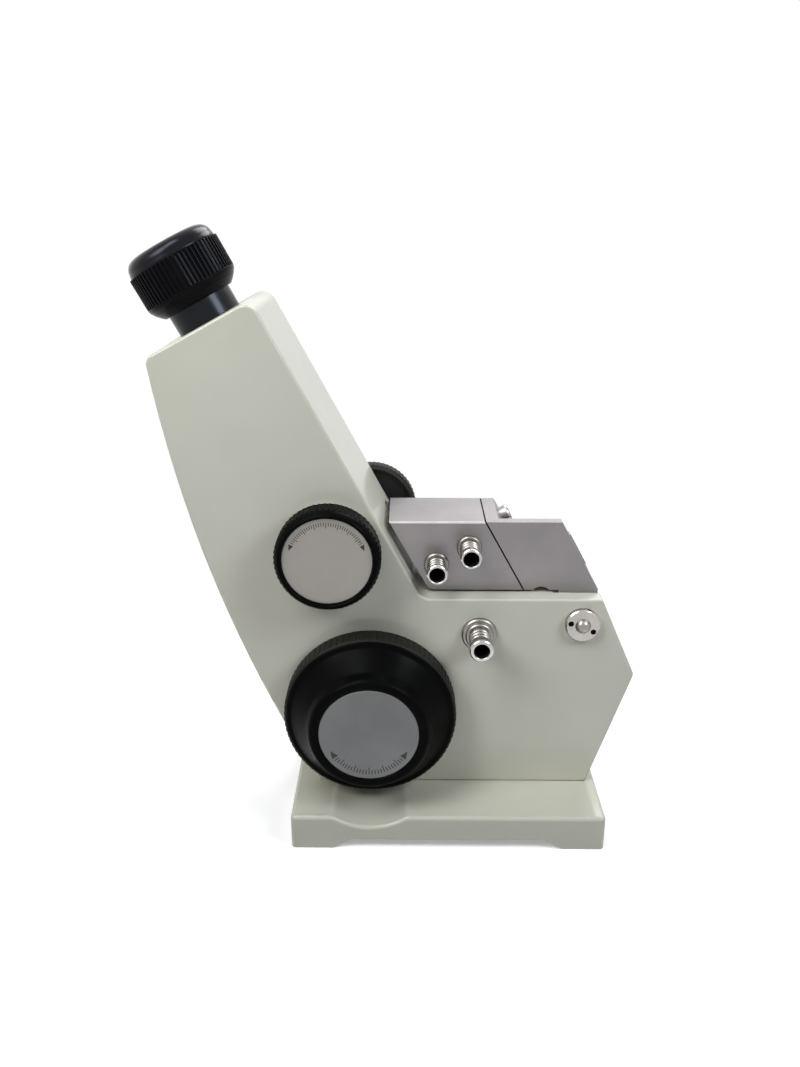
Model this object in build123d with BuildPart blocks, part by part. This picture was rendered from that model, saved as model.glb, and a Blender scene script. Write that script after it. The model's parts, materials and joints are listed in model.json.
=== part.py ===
from build123d import *
from math import acos, asin, atan2, cos, degrees, pi, radians, sin, sqrt, tan
import os

os.makedirs("parts", exist_ok=True)

# Bench refractometer. Millimetres. +X is to the right of the user's left hand column, the
# near side with the two handwheels faces -Y, +Z is up. The origin is on the table, under the
# middle of the whole instrument.

# ---------------------------------------------------------------- driving dimensions
base_x = 23.15              # middle of the base, right of the origin
base_length = 127.2
base_width = 100.0
base_height = 14.8
foot_length = 17.0          # flat of each foot rail
arch_height = 4.2
arch_slope = 7.6
arch_round = 3.0

body_half = 24.25           # half the width of the housing
wall = 3.0
inner_half = body_half - wall
tilt = 28.2                 # column and eyepiece lean to the left of upright
ledge_z = 99.3
edge_round = 1.0            # rounded edges of the casting

adjust_x = base_x - 31.66   # adjustment handwheel
adjust_z = 51.54
adjust_r = 34.9
adjust_disc_r = 19.8
adjust_face_y = -48.14
adjust_grooves = 84

disperse_x = base_x - 47.24  # dispersion handwheel, its axis crosses the telescope's
disperse_z = 119.98
disperse_r = 20.54
disperse_disc_r = 17.5
disperse_grooves = 60

grip_r = 18.5               # eyepiece
grip_grooves = 64
neck_r = 12.8
top_s = 96.4                # top face of the column, along the telescope axis

box_half = 16.8             # prism box
box_top = 129.1
box_bottom = 100.3
box_slant = 29.2            # its ends lean to the left of upright
seat_left_x = base_x - 8.0  # left end, joint and right end where they meet the box's bottom
joint_x = base_x + 29.75
hood_right_x = base_x + 60.3
cheek = 4.6                 # thickness of the hood's two side plates

hinge_x = base_x + 53.2     # hinge of the upper prism seat
hinge_z = 88.85
hinge_shaft_r = 3.13
hinge_disc_r = 6.95

lock_x = base_x - 32.5      # lock handwheel on the far side
lock_z = 120.0
lock_r = 19.4
lock_grooves = 60

gear_module = 0.75          # adjustment shaft's pinion and the toothed sector
pinion_teeth = 12
sector_teeth = 56

gap = 0.3                   # between pieces that move past each other
running = 0.05              # radial clearance of a shaft in its bush

# ---------------------------------------------------------------- directions and planes
sin_t = sin(radians(tilt))
cos_t = cos(radians(tilt))
up_axis = (-sin_t, 0, cos_t)           # up the telescope
across = (cos_t, 0, sin_t)             # across the column, to the right
sin_b = sin(radians(box_slant))
cos_b = cos(radians(box_slant))


def tele_point(s, right=0.0, y=0.0):
    """A point s up the telescope from the dispersion axis, and so far right of it."""
    x = disperse_x - s * sin_t + right * cos_t
    z = disperse_z + s * cos_t + right * sin_t
    return (x, y, z)


def tele_plane(s, right=0.0, y=0.0):
    """A plane square to the telescope."""
    return Plane(origin=tele_point(s, right, y), x_dir=across, z_dir=up_axis)


def side_plane(y):
    """The upright plane at y, seen from the near side: its coordinates are X and Z."""
    return Plane(origin=(0, y, 0), x_dir=(1, 0, 0), z_dir=(0, -1, 0))


def box_point(n, t):
    """A point n to the right of the prism box's joint and t up along the joint."""
    return (joint_x + n * cos_b - t * sin_b, box_bottom + n * sin_b + t * cos_b)


def slant_x(foot_x, z):
    """X at height z of a box end that meets the box's bottom at foot_x."""
    return foot_x - (z - box_bottom) * tan(radians(box_slant))


# ---------------------------------------------------------------- shared operations
def turn_about_y(x, z, outline, mode=Mode.ADD):
    """Turn an outline of (radius, y) points about the line through x, z along Y."""
    with BuildSketch(Plane.XY.offset(z)) as section:
        with BuildLine():
            Polyline([(x + radius, y) for radius, y in outline], close=True)
        make_face()
    revolve(section.sketch, axis=Axis((x, 0, z), (0, 1, 0)), mode=mode)


def turn_about(origin, direction, sideways, outline, mode=Mode.ADD):
    """Turn an outline of (radius, height) points about a slanted line."""
    normal = Vector(*sideways).cross(Vector(*direction))
    with BuildSketch(Plane(origin=origin, x_dir=sideways, z_dir=normal)) as section:
        with BuildLine():
            Polyline(outline, close=True)
        make_face()
    revolve(section.sketch, axis=Axis(origin, direction), mode=mode)


def turn_telescope(outline, right=0.0, y=0.0, mode=Mode.ADD):
    """Turn an outline of (radius, s) points about the telescope axis or a parallel to it."""
    turn_about(tele_point(0, right, y), up_axis, (0, 1, 0), outline, mode)


def plate(y_far, y_near, outline, mode=Mode.ADD):
    """A plate of an outline of (X, Z) points, between two values of y."""
    with BuildSketch(side_plane(y_far)) as section:
        with BuildLine():
            Polyline(outline, close=True)
        make_face()
    extrude(section.sketch, amount=y_far - y_near, mode=mode)


def rod(x, z, y_far, y_near, radius, mode=Mode.ADD):
    """A round bar along Y."""
    with BuildSketch(side_plane(y_far)) as section:
        with Locations((x, z)):
            Circle(radius)
    extrude(section.sketch, amount=y_far - y_near, mode=mode)


def knurled_rim(plane, width, radius, count, groove):
    """A disc whose rim has round-bottomed grooves, count of them, cut by rods of groove radius."""
    with BuildSketch(plane) as section:
        Circle(radius)
        with PolarLocations(radius + 0.35 * groove, count):
            Circle(groove, mode=Mode.SUBTRACT)
    extrude(section.sketch, amount=width)


def tooth_points(teeth, module, addendum, dedendum, backlash):
    """One involute tooth along +X: from inside the root circle to the tip and back."""
    pitch_r = teeth * module / 2
    base_r = pitch_r * cos(radians(20))
    tip_r = pitch_r + addendum
    root_r = pitch_r - dedendum
    half_pitch = pi / (2 * teeth) - backlash / (2 * pitch_r)
    flank = []
    steps = 5
    start_r = max(base_r, root_r)
    for step in range(steps + 1):
        radius = start_r + (tip_r - start_r) * step / steps
        angle = acos(min(1.0, base_r / radius))
        half = half_pitch + (tan(radians(20)) - radians(20)) - (tan(angle) - angle)
        flank.append((radius * cos(half), radius * sin(half)))
    first = atan2(flank[0][1], flank[0][0])
    foot_r = root_r - 0.2
    lower = [(foot_r * cos(first), foot_r * sin(first))] + flank
    return [(px, -py) for px, py in lower] + [(px, py) for px, py in reversed(lower)]


def hose_nozzle(x, z, y_foot, y_wall, length, flange_r, bore_r, tip_r):
    """A hose nozzle along -Y: stem in the wall, flange, ribbed neck, rounded tip, bore."""
    y_tip = y_wall - length
    neck_r = tip_r - 0.9
    outline = [(bore_r, y_foot), (tip_r, y_foot), (tip_r, y_wall)]
    outline += [(flange_r, y_wall), (flange_r, y_wall - 1.0), (flange_r - 0.5, y_wall - 1.5)]
    outline += [(neck_r, y_wall - 1.5)]
    rib_pitch = 2.3
    ribs = int((length - 1.5 - 3.6) / rib_pitch)
    for index in range(ribs):
        y_rib = y_wall - 2.2 - index * rib_pitch
        outline += [(neck_r, y_rib), (neck_r + 0.55, y_rib - 0.5)]
        outline += [(neck_r + 0.55, y_rib - 1.0), (neck_r, y_rib - 1.4)]
    outline += [(neck_r, y_tip + 2.4), (tip_r, y_tip + 2.0), (tip_r, y_tip + 0.6)]
    outline += [(tip_r - 0.5, y_tip + 0.1), (bore_r + 0.3, y_tip), (bore_r, y_tip + 0.5)]
    turn_about_y(x, z, outline)


def screw_head_slot(plane, length, width, depth):
    """A straight driver slot."""
    with BuildSketch(plane) as slot:
        Rectangle(length, width)
    extrude(slot.sketch, amount=-depth, mode=Mode.SUBTRACT)


# ---------------------------------------------------------------- base plate
trough_r = 26.0             # finger trough under the adjustment handwheel
trough_depth = 4.6
trough_blend = 5.0          # its sides run into the top in this radius
trough_back_y = -body_half - 0.6
base_round = 1.6
foot_screw_x = (base_x - 42.0, base_x + 46.0)
foot_screw_y = 13.0
base_screw_r = 2.5
base_head_r = 4.5
head_floor_z = 8.0

with BuildPart() as base:
    left = base_x - base_length / 2
    right = base_x + base_length / 2
    arch_left = left + foot_length
    arch_right = right - foot_length
    arch = [(arch_left + arch_slope, arch_height), (arch_right - arch_slope, arch_height)]
    with BuildSketch(side_plane(base_width / 2)) as front:
        with BuildLine():
            Polyline(
                (left, 0), (arch_left, 0), *arch, (arch_right, 0), (right, 0),
                (right, base_height), (left, base_height), close=True,
            )
        make_face()
        fillet([front.vertices().sort_by_distance(corner)[0] for corner in arch], arch_round)
    extrude(amount=base_width)
    with BuildSketch(side_plane(trough_back_y)) as trough:
        with Locations((adjust_x, base_height - trough_depth + trough_r)):
            Circle(trough_r)
        with Locations((adjust_x, base_height + trough_r)):
            Rectangle(3 * trough_r, 2 * trough_r)
        rims = trough.vertices().group_by(Axis.Z)[0]
        fillet(rims, trough_blend)
    extrude(trough.sketch, amount=base_width, mode=Mode.SUBTRACT)
    fillet(base.edges().filter_by(Axis.Z), radius=2.0)
    # the rounding runs all round the top and down through the trough's front end
    high = base.edges().filter_by_position(Axis.Z, arch_height + 3.0, base_height)
    rim = high.filter_by_position(Axis.Y, -base_width / 2, -base_width / 2 + 2.0)
    rim += high.filter_by_position(Axis.Y, base_width / 2 - 2.0, base_width / 2)
    for side in (left, right - 2.0):
        rim += high.filter_by_position(Axis.X, side, side + 2.0)
    fillet(set(rim.filter_by(lambda edge: edge.bounding_box().size.Z < trough_depth)), base_round)
    for x in foot_screw_x:
        for y in (-foot_screw_y, foot_screw_y):
            with Locations((x, y, 0)):
                Cylinder(base_screw_r, 60, mode=Mode.SUBTRACT)
                Cylinder(base_head_r, 2 * head_floor_z, mode=Mode.SUBTRACT)
base.part.label = "base"
export_step(base.part, "parts/base.step")

with BuildPart() as base_screws:
    for x in foot_screw_x:
        for y in (-foot_screw_y, foot_screw_y):
            with BuildSketch(Plane.XY.offset(head_floor_z)) as shank:
                with Locations((x, y)):
                    Circle(base_screw_r)
            extrude(shank.sketch, amount=base_height + wall - head_floor_z)
            with BuildSketch(Plane.XY.offset(head_floor_z - 2.6)) as head:
                with Locations((x, y)):
                    Circle(base_head_r - 0.3)
                    RegularPolygon(2.0, 6, mode=Mode.SUBTRACT)
            extrude(head.sketch, amount=2.6)
base_screws.part.label = "base_screws"
export_step(base_screws.part, "parts/base_screws.step")

# ---------------------------------------------------------------- housing
bow_x = base_x + 397.3      # the user's side of the column is one long arc about this point
bow_z = 263.4
bow_r = 514.9
top_round = 5.5
notch_round = 6.0
back_round = 4.0
user_round = 4.0


def bow_at(z):
    """X of the column's bowed face at height z."""
    return bow_x - sqrt(bow_r ** 2 - (z - bow_z) ** 2)


slant_foot = base_x - 11.06  # column's straight face, where its line meets the ledge's height
foot_left = (bow_at(base_height), base_height)
bow_middle = (bow_at(105.0), 105.0)
crown_right = tele_point(top_s, 22.1)
bow_across = (bow_x - disperse_x) * cos_t + (bow_z - disperse_z) * sin_t
bow_s = (disperse_x - bow_x) * sin_t + (bow_z - disperse_z) * cos_t
crown_across = bow_across - sqrt(bow_r ** 2 - (top_s - bow_s) ** 2)
crown_left = (tele_point(top_s, crown_across)[0], tele_point(top_s, crown_across)[2])
notch = (slant_foot, ledge_z)
ledge_end = (base_x + 60.8, ledge_z)
back_corner = (base_x + 75.9, 65.9)
foot_right = (base_x + 59.4, base_height)

pocket_left = base_x + 42.0  # slot between the housing's cheeks for the seat's hinge ears
pocket_floor = 78.0
pocket_half = box_half + gap


def housing_face(grow=0.0):
    """The housing's outline, grown outwards by so much, with its rounded corners."""
    with BuildSketch(side_plane(0)) as face:
        with BuildLine():
            ThreePointArc(foot_left, bow_middle, crown_left)
            Polyline(
                crown_left, (crown_right[0], crown_right[2]), notch, ledge_end,
                back_corner, foot_right, foot_left,
            )
        make_face()
        for corner, radius in (
            ((crown_right[0], crown_right[2]), top_round), (crown_left, user_round),
            (notch, notch_round), (back_corner, back_round), (ledge_end, 1.2),
        ):
            fillet(face.vertices().sort_by_distance(corner)[0], radius)
        if grow:
            offset(amount=grow, mode=Mode.REPLACE)
    return face.sketch


housing_outline = housing_face()
cavity_outline = housing_face(-wall)

# what passes through the casting
seat_left = base_x - 7.0     # refraction prism seat, let into the ledge
seat_right = base_x + 36.0
seat_half = 15.0
nozzle_x = base_x + 12.15    # hose nozzles of the refraction prism seat
nozzle_z = 84.28
nozzle_stem_r = 4.7
bush_r = 6.5
# the sector's pivot lies on the telescope axis, one gear distance from the adjustment shaft
gear_distance = (pinion_teeth + sector_teeth) * gear_module / 2
adjust_s = (disperse_x - adjust_x) * sin_t + (adjust_z - disperse_z) * cos_t
adjust_right = (adjust_x - disperse_x) * cos_t + (adjust_z - disperse_z) * sin_t
pivot_s = adjust_s + sqrt(gear_distance ** 2 - adjust_right ** 2)
pivot_x, _, pivot_z = tele_point(pivot_s)
pivot_r = 2.5
# light goes from the refraction prism to the swing mirror on that pivot
exit_x = base_x + 12.0
exit_z = 90.0
in_ray = Vector(pivot_x - exit_x, 0, pivot_z - exit_z).normalized()
spigot_r = 10.0
cam_y = (11.6, 16.1)         # lock cam, between these
cam_length = 11.4
calibration_z = 165.0
calibration_r = 2.0
bow_normal = ((bow_at(calibration_z) - bow_x) / bow_r, 0, (calibration_z - bow_z) / bow_r)
reading_right = -15.5        # the scale is read beside the telescope axis
reading_s = -75.0
window_x, _, window_z = tele_point(reading_s, reading_right)
window_r = 5.0

scale_angle = degrees(atan2(window_z - pivot_z, window_x - pivot_x))
scale_r = sqrt((window_z - pivot_z) ** 2 + (window_x - pivot_x) ** 2)


def polar_from_pivot(radius, angle):
    """A point about the sector's pivot."""
    return (pivot_x + radius * cos(radians(angle)), pivot_z + radius * sin(radians(angle)))


with BuildPart() as housing:
    extrude(housing_outline, amount=inner_half, both=True)
    extrude(housing_outline.moved(Location((0, -inner_half, 0))), amount=wall)
    fillet(housing.edges().group_by(Axis.Y)[0], radius=edge_round)
    # hollow, open to the far side, but solid round the hinge slot
    with BuildSketch(side_plane(inner_half)) as hollow:
        add(cavity_outline.moved(Location((0, inner_half, 0))))
        with Locations((pocket_left - wall + 30, pocket_floor - wall + 30)):
            Rectangle(60, 60, mode=Mode.SUBTRACT)
    extrude(hollow.sketch, amount=2 * inner_half, mode=Mode.SUBTRACT)
    slot = [(pocket_left, ledge_z + 5), (pocket_left, pocket_floor)]
    slot += [(base_x + 90, pocket_floor), (base_x + 90, ledge_z + 5)]
    plate(inner_half + 1, -pocket_half, slot, Mode.SUBTRACT)
    # opening for the refraction prism seat
    with BuildSketch(Plane.XY.offset(ledge_z + 1)) as opening:
        with Locations(((seat_left + seat_right) / 2, 0)):
            Rectangle(seat_right - seat_left, 2 * seat_half)
    extrude(opening.sketch, amount=-wall - 2, mode=Mode.SUBTRACT)
    rod(nozzle_x, nozzle_z, 0, -40, nozzle_stem_r, Mode.SUBTRACT)
    rod(adjust_x, adjust_z, 0, -40, bush_r, Mode.SUBTRACT)
    rod(disperse_x, disperse_z, 0, -40, bush_r, Mode.SUBTRACT)
    rod(hinge_x, hinge_z, 0, -40, hinge_shaft_r, Mode.SUBTRACT)
    turn_telescope([(0, top_s - 6), (spigot_r, top_s - 6), (spigot_r, top_s + 3), (0, top_s + 3)],
                   mode=Mode.SUBTRACT)
    for x in foot_screw_x:
        for y in (-foot_screw_y, foot_screw_y):
            with Locations((x, y, base_height)):
                Cylinder(base_screw_r, 2 * wall, mode=Mode.SUBTRACT)
    # slot in the straight face for the lock cam
    cam_slot = Plane(origin=tele_point(-6.9, 20.6, sum(cam_y) / 2), x_dir=up_axis, z_dir=across)
    with BuildSketch(cam_slot) as slot_face:
        with Locations((-3.6, 0)):
            Rectangle(15.0, cam_y[1] - cam_y[0] + 1.2)
    extrude(slot_face.sketch, amount=4, both=True, mode=Mode.SUBTRACT)
    turn_about((bow_at(calibration_z), 0, calibration_z), bow_normal, (0, 1, 0),
               [(0, -5), (calibration_r, -5), (calibration_r, 2), (0, 2)], Mode.SUBTRACT)
housing.part.label = "housing"
export_step(housing.part, "parts/housing.step")

# ---------------------------------------------------------------- cover plate on the far side
cover_screw_spots = [
    (bow_at(32.0) + 6.2, 32.0), (bow_at(108.0) + 5.4, 108.0), (bow_at(180.0) + 5.4, 180.0),
    (tele_point(86, 16.6)[0], tele_point(86, 16.6)[2]),
    (tele_point(20, 17.0)[0], tele_point(20, 17.0)[2]),
    (base_x + 38.6, 94.0), (base_x + 68.4, 64.0), (base_x + 55.6, 24.0),
    (base_x - 4.0, 20.6),
]
cover_screw_r = 1.5

with BuildPart() as cover_plate:
    extrude(housing_outline.moved(Location((0, body_half, 0))), amount=wall)
    fillet(cover_plate.edges().group_by(Axis.Y)[-1], radius=edge_round)
    pad = [(pocket_left + 0.1, ledge_z), (pocket_left + 0.1, pocket_floor + 0.1)]
    pad += [(base_x + 68.0, pocket_floor + 0.1), (ledge_end[0] - 0.6, ledge_z)]
    plate(inner_half, pocket_half, pad)
    rod(hinge_x, hinge_z, 40, 0, hinge_shaft_r, Mode.SUBTRACT)
    rod(nozzle_x, nozzle_z, 40, 0, nozzle_stem_r, Mode.SUBTRACT)
    rod(lock_x, lock_z, 40, 0, bush_r, Mode.SUBTRACT)
    rod(window_x, window_z, 40, 0, window_r, Mode.SUBTRACT)
    for x, z in cover_screw_spots:
        rod(x, z, 40, 0, cover_screw_r, Mode.SUBTRACT)
cover_plate.part.label = "cover_plate"
export_step(cover_plate.part, "parts/cover_plate.step")

with BuildPart() as cover_screws:
    for x, z in cover_screw_spots:
        head = [(0, body_half), (3.0, body_half), (3.0, body_half + 0.8), (2.2, body_half + 1.7)]
        turn_about_y(x, z, head + [(0, body_half + 1.9)])
        rod(x, z, body_half, inner_half, cover_screw_r)
        slot_plane = Plane(origin=(x, body_half + 1.9, z), x_dir=(1, 0, 1), z_dir=(0, 1, 0))
        screw_head_slot(slot_plane, 7, 0.8, 0.9)
cover_screws.part.label = "cover_screws"
export_step(cover_screws.part, "parts/cover_screws.step")

# ---------------------------------------------------------------- eyepiece neck and telescope
tube_r = 11.5
tube_foot = 22.0
neck_end = top_s + 16.5
cell_bore_r = 8.5
under_top = top_s - wall

with BuildPart() as eyepiece_neck:
    turn_telescope([
        (cell_bore_r, top_s - 6), (spigot_r, top_s - 6), (spigot_r, top_s), (neck_r, top_s),
        (neck_r, neck_end - 0.6), (neck_r - 0.6, neck_end), (cell_bore_r, neck_end),
    ])
eyepiece_neck.part.label = "eyepiece_neck"
export_step(eyepiece_neck.part, "parts/eyepiece_neck.step")

reading_y = 13.0            # the reading tube runs beside the telescope, towards the far side
reading_r = 3.0
reading_offset = sqrt(reading_right ** 2 + reading_y ** 2)
toward_reading = (Vector(*across) * reading_right + Vector(0, reading_y, 0)).normalized()
combiner_s = 80.0
combiner_size = 6.0
combiner_far = reading_offset + 1.4
combiner_plane = Plane(origin=tele_point(combiner_s), x_dir=toward_reading, z_dir=up_axis)

with BuildPart() as telescope_tube:
    turn_telescope([
        (spigot_r - 1.5, tube_foot), (tube_r, tube_foot), (tube_r, under_top),
        (spigot_r, under_top), (spigot_r, tube_foot + 6), (spigot_r - 1.5, tube_foot + 6),
    ])
    with BuildSketch(combiner_plane) as window:
        with Locations((combiner_far / 2 + 4, 0)):
            Rectangle(combiner_far - 8, combiner_size)
    extrude(window.sketch, amount=combiner_size, mode=Mode.SUBTRACT)
telescope_tube.part.label = "telescope_tube"
export_step(telescope_tube.part, "parts/telescope_tube.step")

with BuildPart() as objective_lens:
    turn_telescope([(0, tube_foot + 6), (spigot_r, tube_foot + 6), (spigot_r, tube_foot + 8),
                    (5.5, tube_foot + 9.6), (0, tube_foot + 10.1)])
objective_lens.part.label = "objective_lens"
export_step(objective_lens.part, "parts/objective_lens.step")

with BuildPart() as reticle:
    turn_telescope([(0, under_top - 5.0), (spigot_r, under_top - 5.0),
                    (spigot_r, under_top - 3.2), (0, under_top - 3.2)])
reticle.part.label = "reticle"
export_step(reticle.part, "parts/reticle.step")

# ---------------------------------------------------------------- scale reading path
with BuildPart() as combining_prism:
    with BuildSketch(combiner_plane) as body:
        with Locations((combiner_far / 2 + 4, 0)):
            Rectangle(combiner_far - 8, combiner_size)
    extrude(body.sketch, amount=combiner_size)
combining_prism.part.label = "combining_prism"
export_step(combining_prism.part, "parts/combining_prism.step")

reading_foot = -52.0
with BuildPart() as reading_tube:
    turn_telescope([(2.2, reading_foot), (reading_r, reading_foot),
                    (reading_r, combiner_s), (2.2, combiner_s)], reading_right, reading_y)
reading_tube.part.label = "reading_tube"
export_step(reading_tube.part, "parts/reading_tube.step")

with BuildPart() as reading_objective:
    turn_telescope([(0, reading_foot + 1), (2.2, reading_foot + 1), (2.2, reading_foot + 2.6),
                    (0, reading_foot + 3.2)], reading_right, reading_y)
reading_objective.part.label = "reading_objective"
export_step(reading_objective.part, "parts/reading_objective.step")

prism_side = 6.0
reading_section = Plane(origin=tele_point(reading_s, reading_right), x_dir=(0, 1, 0),
                        z_dir=Vector(0, 1, 0).cross(Vector(*up_axis)))
with BuildPart() as reading_prism:
    low = reading_y - prism_side / 2
    high = reading_y + prism_side / 2
    with BuildSketch(reading_section):
        with BuildLine():
            Polyline((high, -3), (high, 3), (low, 3), (low, 1), (low + 4, -3), close=True)
        make_face()
    extrude(amount=prism_side / 2, both=True)
reading_prism.part.label = "reading_prism"
export_step(reading_prism.part, "parts/reading_prism.step")

post_x, post_z = polar_from_pivot(38.5, scale_angle)
blade_y = reading_y - prism_side / 2
blade_half = 2.9
clamp_height = 10.0
with BuildPart() as reading_bracket:
    with BuildSketch(tele_plane(reading_foot, reading_right, reading_y)) as clamp:
        Rectangle(8.4, 8.0)
    extrude(clamp.sketch, amount=clamp_height)
    blade_top = reading_foot + clamp_height
    blade_foot = reading_s - prism_side / 2 - 2.0
    blade = [tele_point(blade_top, reading_right - blade_half)]
    blade += [tele_point(blade_foot, reading_right - blade_half)]
    blade += [tele_point(blade_foot, reading_right + blade_half)]
    blade += [tele_point(blade_top, reading_right + blade_half)]
    plate(blade_y, blade_y - 2.4, [(point[0], point[2]) for point in blade])
    link = [tele_point(blade_foot + 4, reading_right - blade_half), (post_x - 2.2, 0, post_z + 1)]
    link += [(post_x + 2.2, 0, post_z - 1), tele_point(blade_foot + 1, reading_right + 2)]
    plate(blade_y, blade_y - 2.4, [(point[0], point[2]) for point in link])
    rod(post_x, post_z, inner_half, blade_y - 2.4, 2.4)
    turn_telescope([(0, reading_foot - 4), (reading_r, reading_foot - 4),
                    (reading_r, blade_top + 4), (0, blade_top + 4)],
                   reading_right, reading_y, Mode.SUBTRACT)
reading_bracket.part.label = "reading_bracket"
export_step(reading_bracket.part, "parts/reading_bracket.step")

# ---------------------------------------------------------------- refraction prism and its seat
prism_half = 11.0
exit_r = 5.0
seat_foot = 77.5
with BuildPart() as refraction_prism_seat:
    plate(seat_half, -seat_half, [
        (seat_left, ledge_z), (seat_left, 91.0), (base_x + 8.0, seat_foot),
        (seat_right, seat_foot), (seat_right, ledge_z),
    ])
    low_prism = [(base_x + 0.0, ledge_z + 0.5), (base_x + 0.0, 93.0), (base_x + 10.0, 85.5),
                 (base_x + 27.0, 93.0), (base_x + 27.0, ledge_z + 0.5)]
    plate(prism_half, -prism_half, low_prism, Mode.SUBTRACT)
    turn_about((exit_x, 0, exit_z), (in_ray.X, in_ray.Y, in_ray.Z), (0, 1, 0),
               [(0, 0), (exit_r, 0), (exit_r, 30), (0, 30)], Mode.SUBTRACT)
    for y_far, y_near in ((-seat_half + 2.4, -seat_half - 1), (seat_half + 1, seat_half - 2.4)):
        rod(nozzle_x, nozzle_z, y_far, y_near, nozzle_stem_r, Mode.SUBTRACT)
refraction_prism_seat.part.label = "refraction_prism_seat"
export_step(refraction_prism_seat.part, "parts/refraction_prism_seat.step")

with BuildPart() as refraction_prism:
    plate(prism_half, -prism_half, low_prism)
refraction_prism.part.label = "refraction_prism"
export_step(refraction_prism.part, "parts/refraction_prism.step")

body_tip_r = 4.7
with BuildPart(mode=Mode.PRIVATE) as one_nozzle:
    hose_nozzle(nozzle_x, nozzle_z, -seat_half + 2.4, -body_half - 2.0, 14.1, 5.6, 2.95, body_tip_r)
    turn_about_y(nozzle_x, nozzle_z, [
        (body_tip_r - 0.5, -body_half), (7.1, -body_half), (7.1, -body_half - 1.4),
        (6.5, -body_half - 2.0), (body_tip_r - 0.5, -body_half - 2.0),
    ])

with BuildPart() as body_nozzles:
    add(one_nozzle.part)
    add(one_nozzle.part.mirror(Plane.XZ))
body_nozzles.part.label = "body_nozzles"
export_step(body_nozzles.part, "parts/body_nozzles.step")

# ---------------------------------------------------------------- hinge of the upper seat
disc_y = body_half + 2.5
hinge_screw_angles = (168.0, -30.0)
hinge_screw_ring = 4.9
hinge_screw_r = 1.15
hinge_pit = 1.9             # the screws' heads lie this deep
rim_hole_angle = 70.0       # hole for a set screw in the disc's rim
dome_height = 2.3
dome_r = (hinge_shaft_r ** 2 + dome_height ** 2) / (2 * dome_height)
with BuildPart() as hinge_shaft:
    rod(hinge_x, hinge_z, disc_y, -disc_y, hinge_shaft_r)
    for side in (-1, 1):
        halfway = asin(hinge_shaft_r / dome_r) / 2
        dome_middle = disc_y + dome_height - dome_r
        with BuildSketch(Plane.XY.offset(hinge_z)) as cap:
            with BuildLine():
                foot = Polyline((hinge_x, side * (disc_y + dome_height)), (hinge_x, side * disc_y),
                                (hinge_x + hinge_shaft_r, side * disc_y))
                ThreePointArc(foot @ 1, (hinge_x + dome_r * sin(halfway),
                                         side * (dome_middle + dome_r * cos(halfway))), foot @ 0)
            make_face()
        revolve(cap.sketch, axis=Axis((hinge_x, 0, hinge_z), (0, 1, 0)))
hinge_shaft.part.label = "hinge_shaft"
export_step(hinge_shaft.part, "parts/hinge_shaft.step")

with BuildPart() as hinge_discs:
    for side in (-1, 1):
        turn_about_y(hinge_x, hinge_z, [
            (hinge_shaft_r, side * body_half), (hinge_disc_r, side * body_half),
            (hinge_disc_r, side * (disc_y - 0.5)), (hinge_disc_r - 0.5, side * disc_y),
            (hinge_shaft_r, side * disc_y),
        ])
        for angle in hinge_screw_angles:
            x = hinge_x + hinge_screw_ring * cos(radians(angle))
            z = hinge_z + hinge_screw_ring * sin(radians(angle))
            y_out = side * (disc_y + 1)
            y_in = side * (disc_y - hinge_pit)
            rod(x, z, max(y_out, y_in), min(y_out, y_in), hinge_screw_r, Mode.SUBTRACT)
        rim_point = (hinge_x + (hinge_disc_r + 1) * cos(radians(rim_hole_angle)),
                     side * (body_half + disc_y) / 2,
                     hinge_z + (hinge_disc_r + 1) * sin(radians(rim_hole_angle)))
        inward = (-cos(radians(rim_hole_angle)), 0, -sin(radians(rim_hole_angle)))
        with BuildSketch(Plane(origin=rim_point, x_dir=(0, 1, 0), z_dir=inward)) as rim_hole:
            Circle(0.95)
        extrude(rim_hole.sketch, amount=3.0, mode=Mode.SUBTRACT)
hinge_discs.part.label = "hinge_discs"
export_step(hinge_discs.part, "parts/hinge_discs.step")

with BuildPart() as hinge_screws:
    for side in (-1, 1):
        for angle in hinge_screw_angles:
            x = hinge_x + hinge_screw_ring * cos(radians(angle))
            z = hinge_z + hinge_screw_ring * sin(radians(angle))
            y_in = side * (disc_y - hinge_pit)
            y_out = side * (disc_y - hinge_pit + 0.7)
            rod(x, z, max(y_out, y_in), min(y_out, y_in), hinge_screw_r)
hinge_screws.part.label = "hinge_screws"
export_step(hinge_screws.part, "parts/hinge_screws.step")

# ---------------------------------------------------------------- bushes in the walls
shaft_r = 3.0
with BuildPart() as shaft_bushes:
    for x, z in ((adjust_x, adjust_z), (disperse_x, disperse_z)):
        inside_y = -inner_half + 4.0
        turn_about_y(x, z, [
            (shaft_r + running, inside_y), (bush_r + 1.5, inside_y), (bush_r + 1.5, -inner_half),
            (bush_r, -inner_half), (bush_r, -body_half), (shaft_r + running, -body_half),
        ])
shaft_bushes.part.label = "shaft_bushes"
export_step(shaft_bushes.part, "parts/shaft_bushes.step")

with BuildPart() as lock_bush:
    turn_about_y(lock_x, lock_z, [
        (shaft_r + running, inner_half), (bush_r, inner_half), (bush_r, body_half),
        (bush_r + 2.5, body_half), (bush_r + 2.5, body_half + 1.6),
        (shaft_r + running, body_half + 1.6),
    ])
lock_bush.part.label = "lock_bush"
export_step(lock_bush.part, "parts/lock_bush.step")

# ---------------------------------------------------------------- upper prism seat
seat_corner_round = 4.0
light_axis_t = 12.0         # the light window, this far up the joint
light_r = 6.0
upper_prism_outline = [
    (base_x + 1.5, box_bottom - 0.1), (joint_x - 1.6 / cos_b, box_bottom - 0.1),
    box_point(-1.6, 21.0), (base_x + 8.0, box_bottom + 19.5), (base_x + 1.5, box_bottom + 12.0),
]

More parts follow.
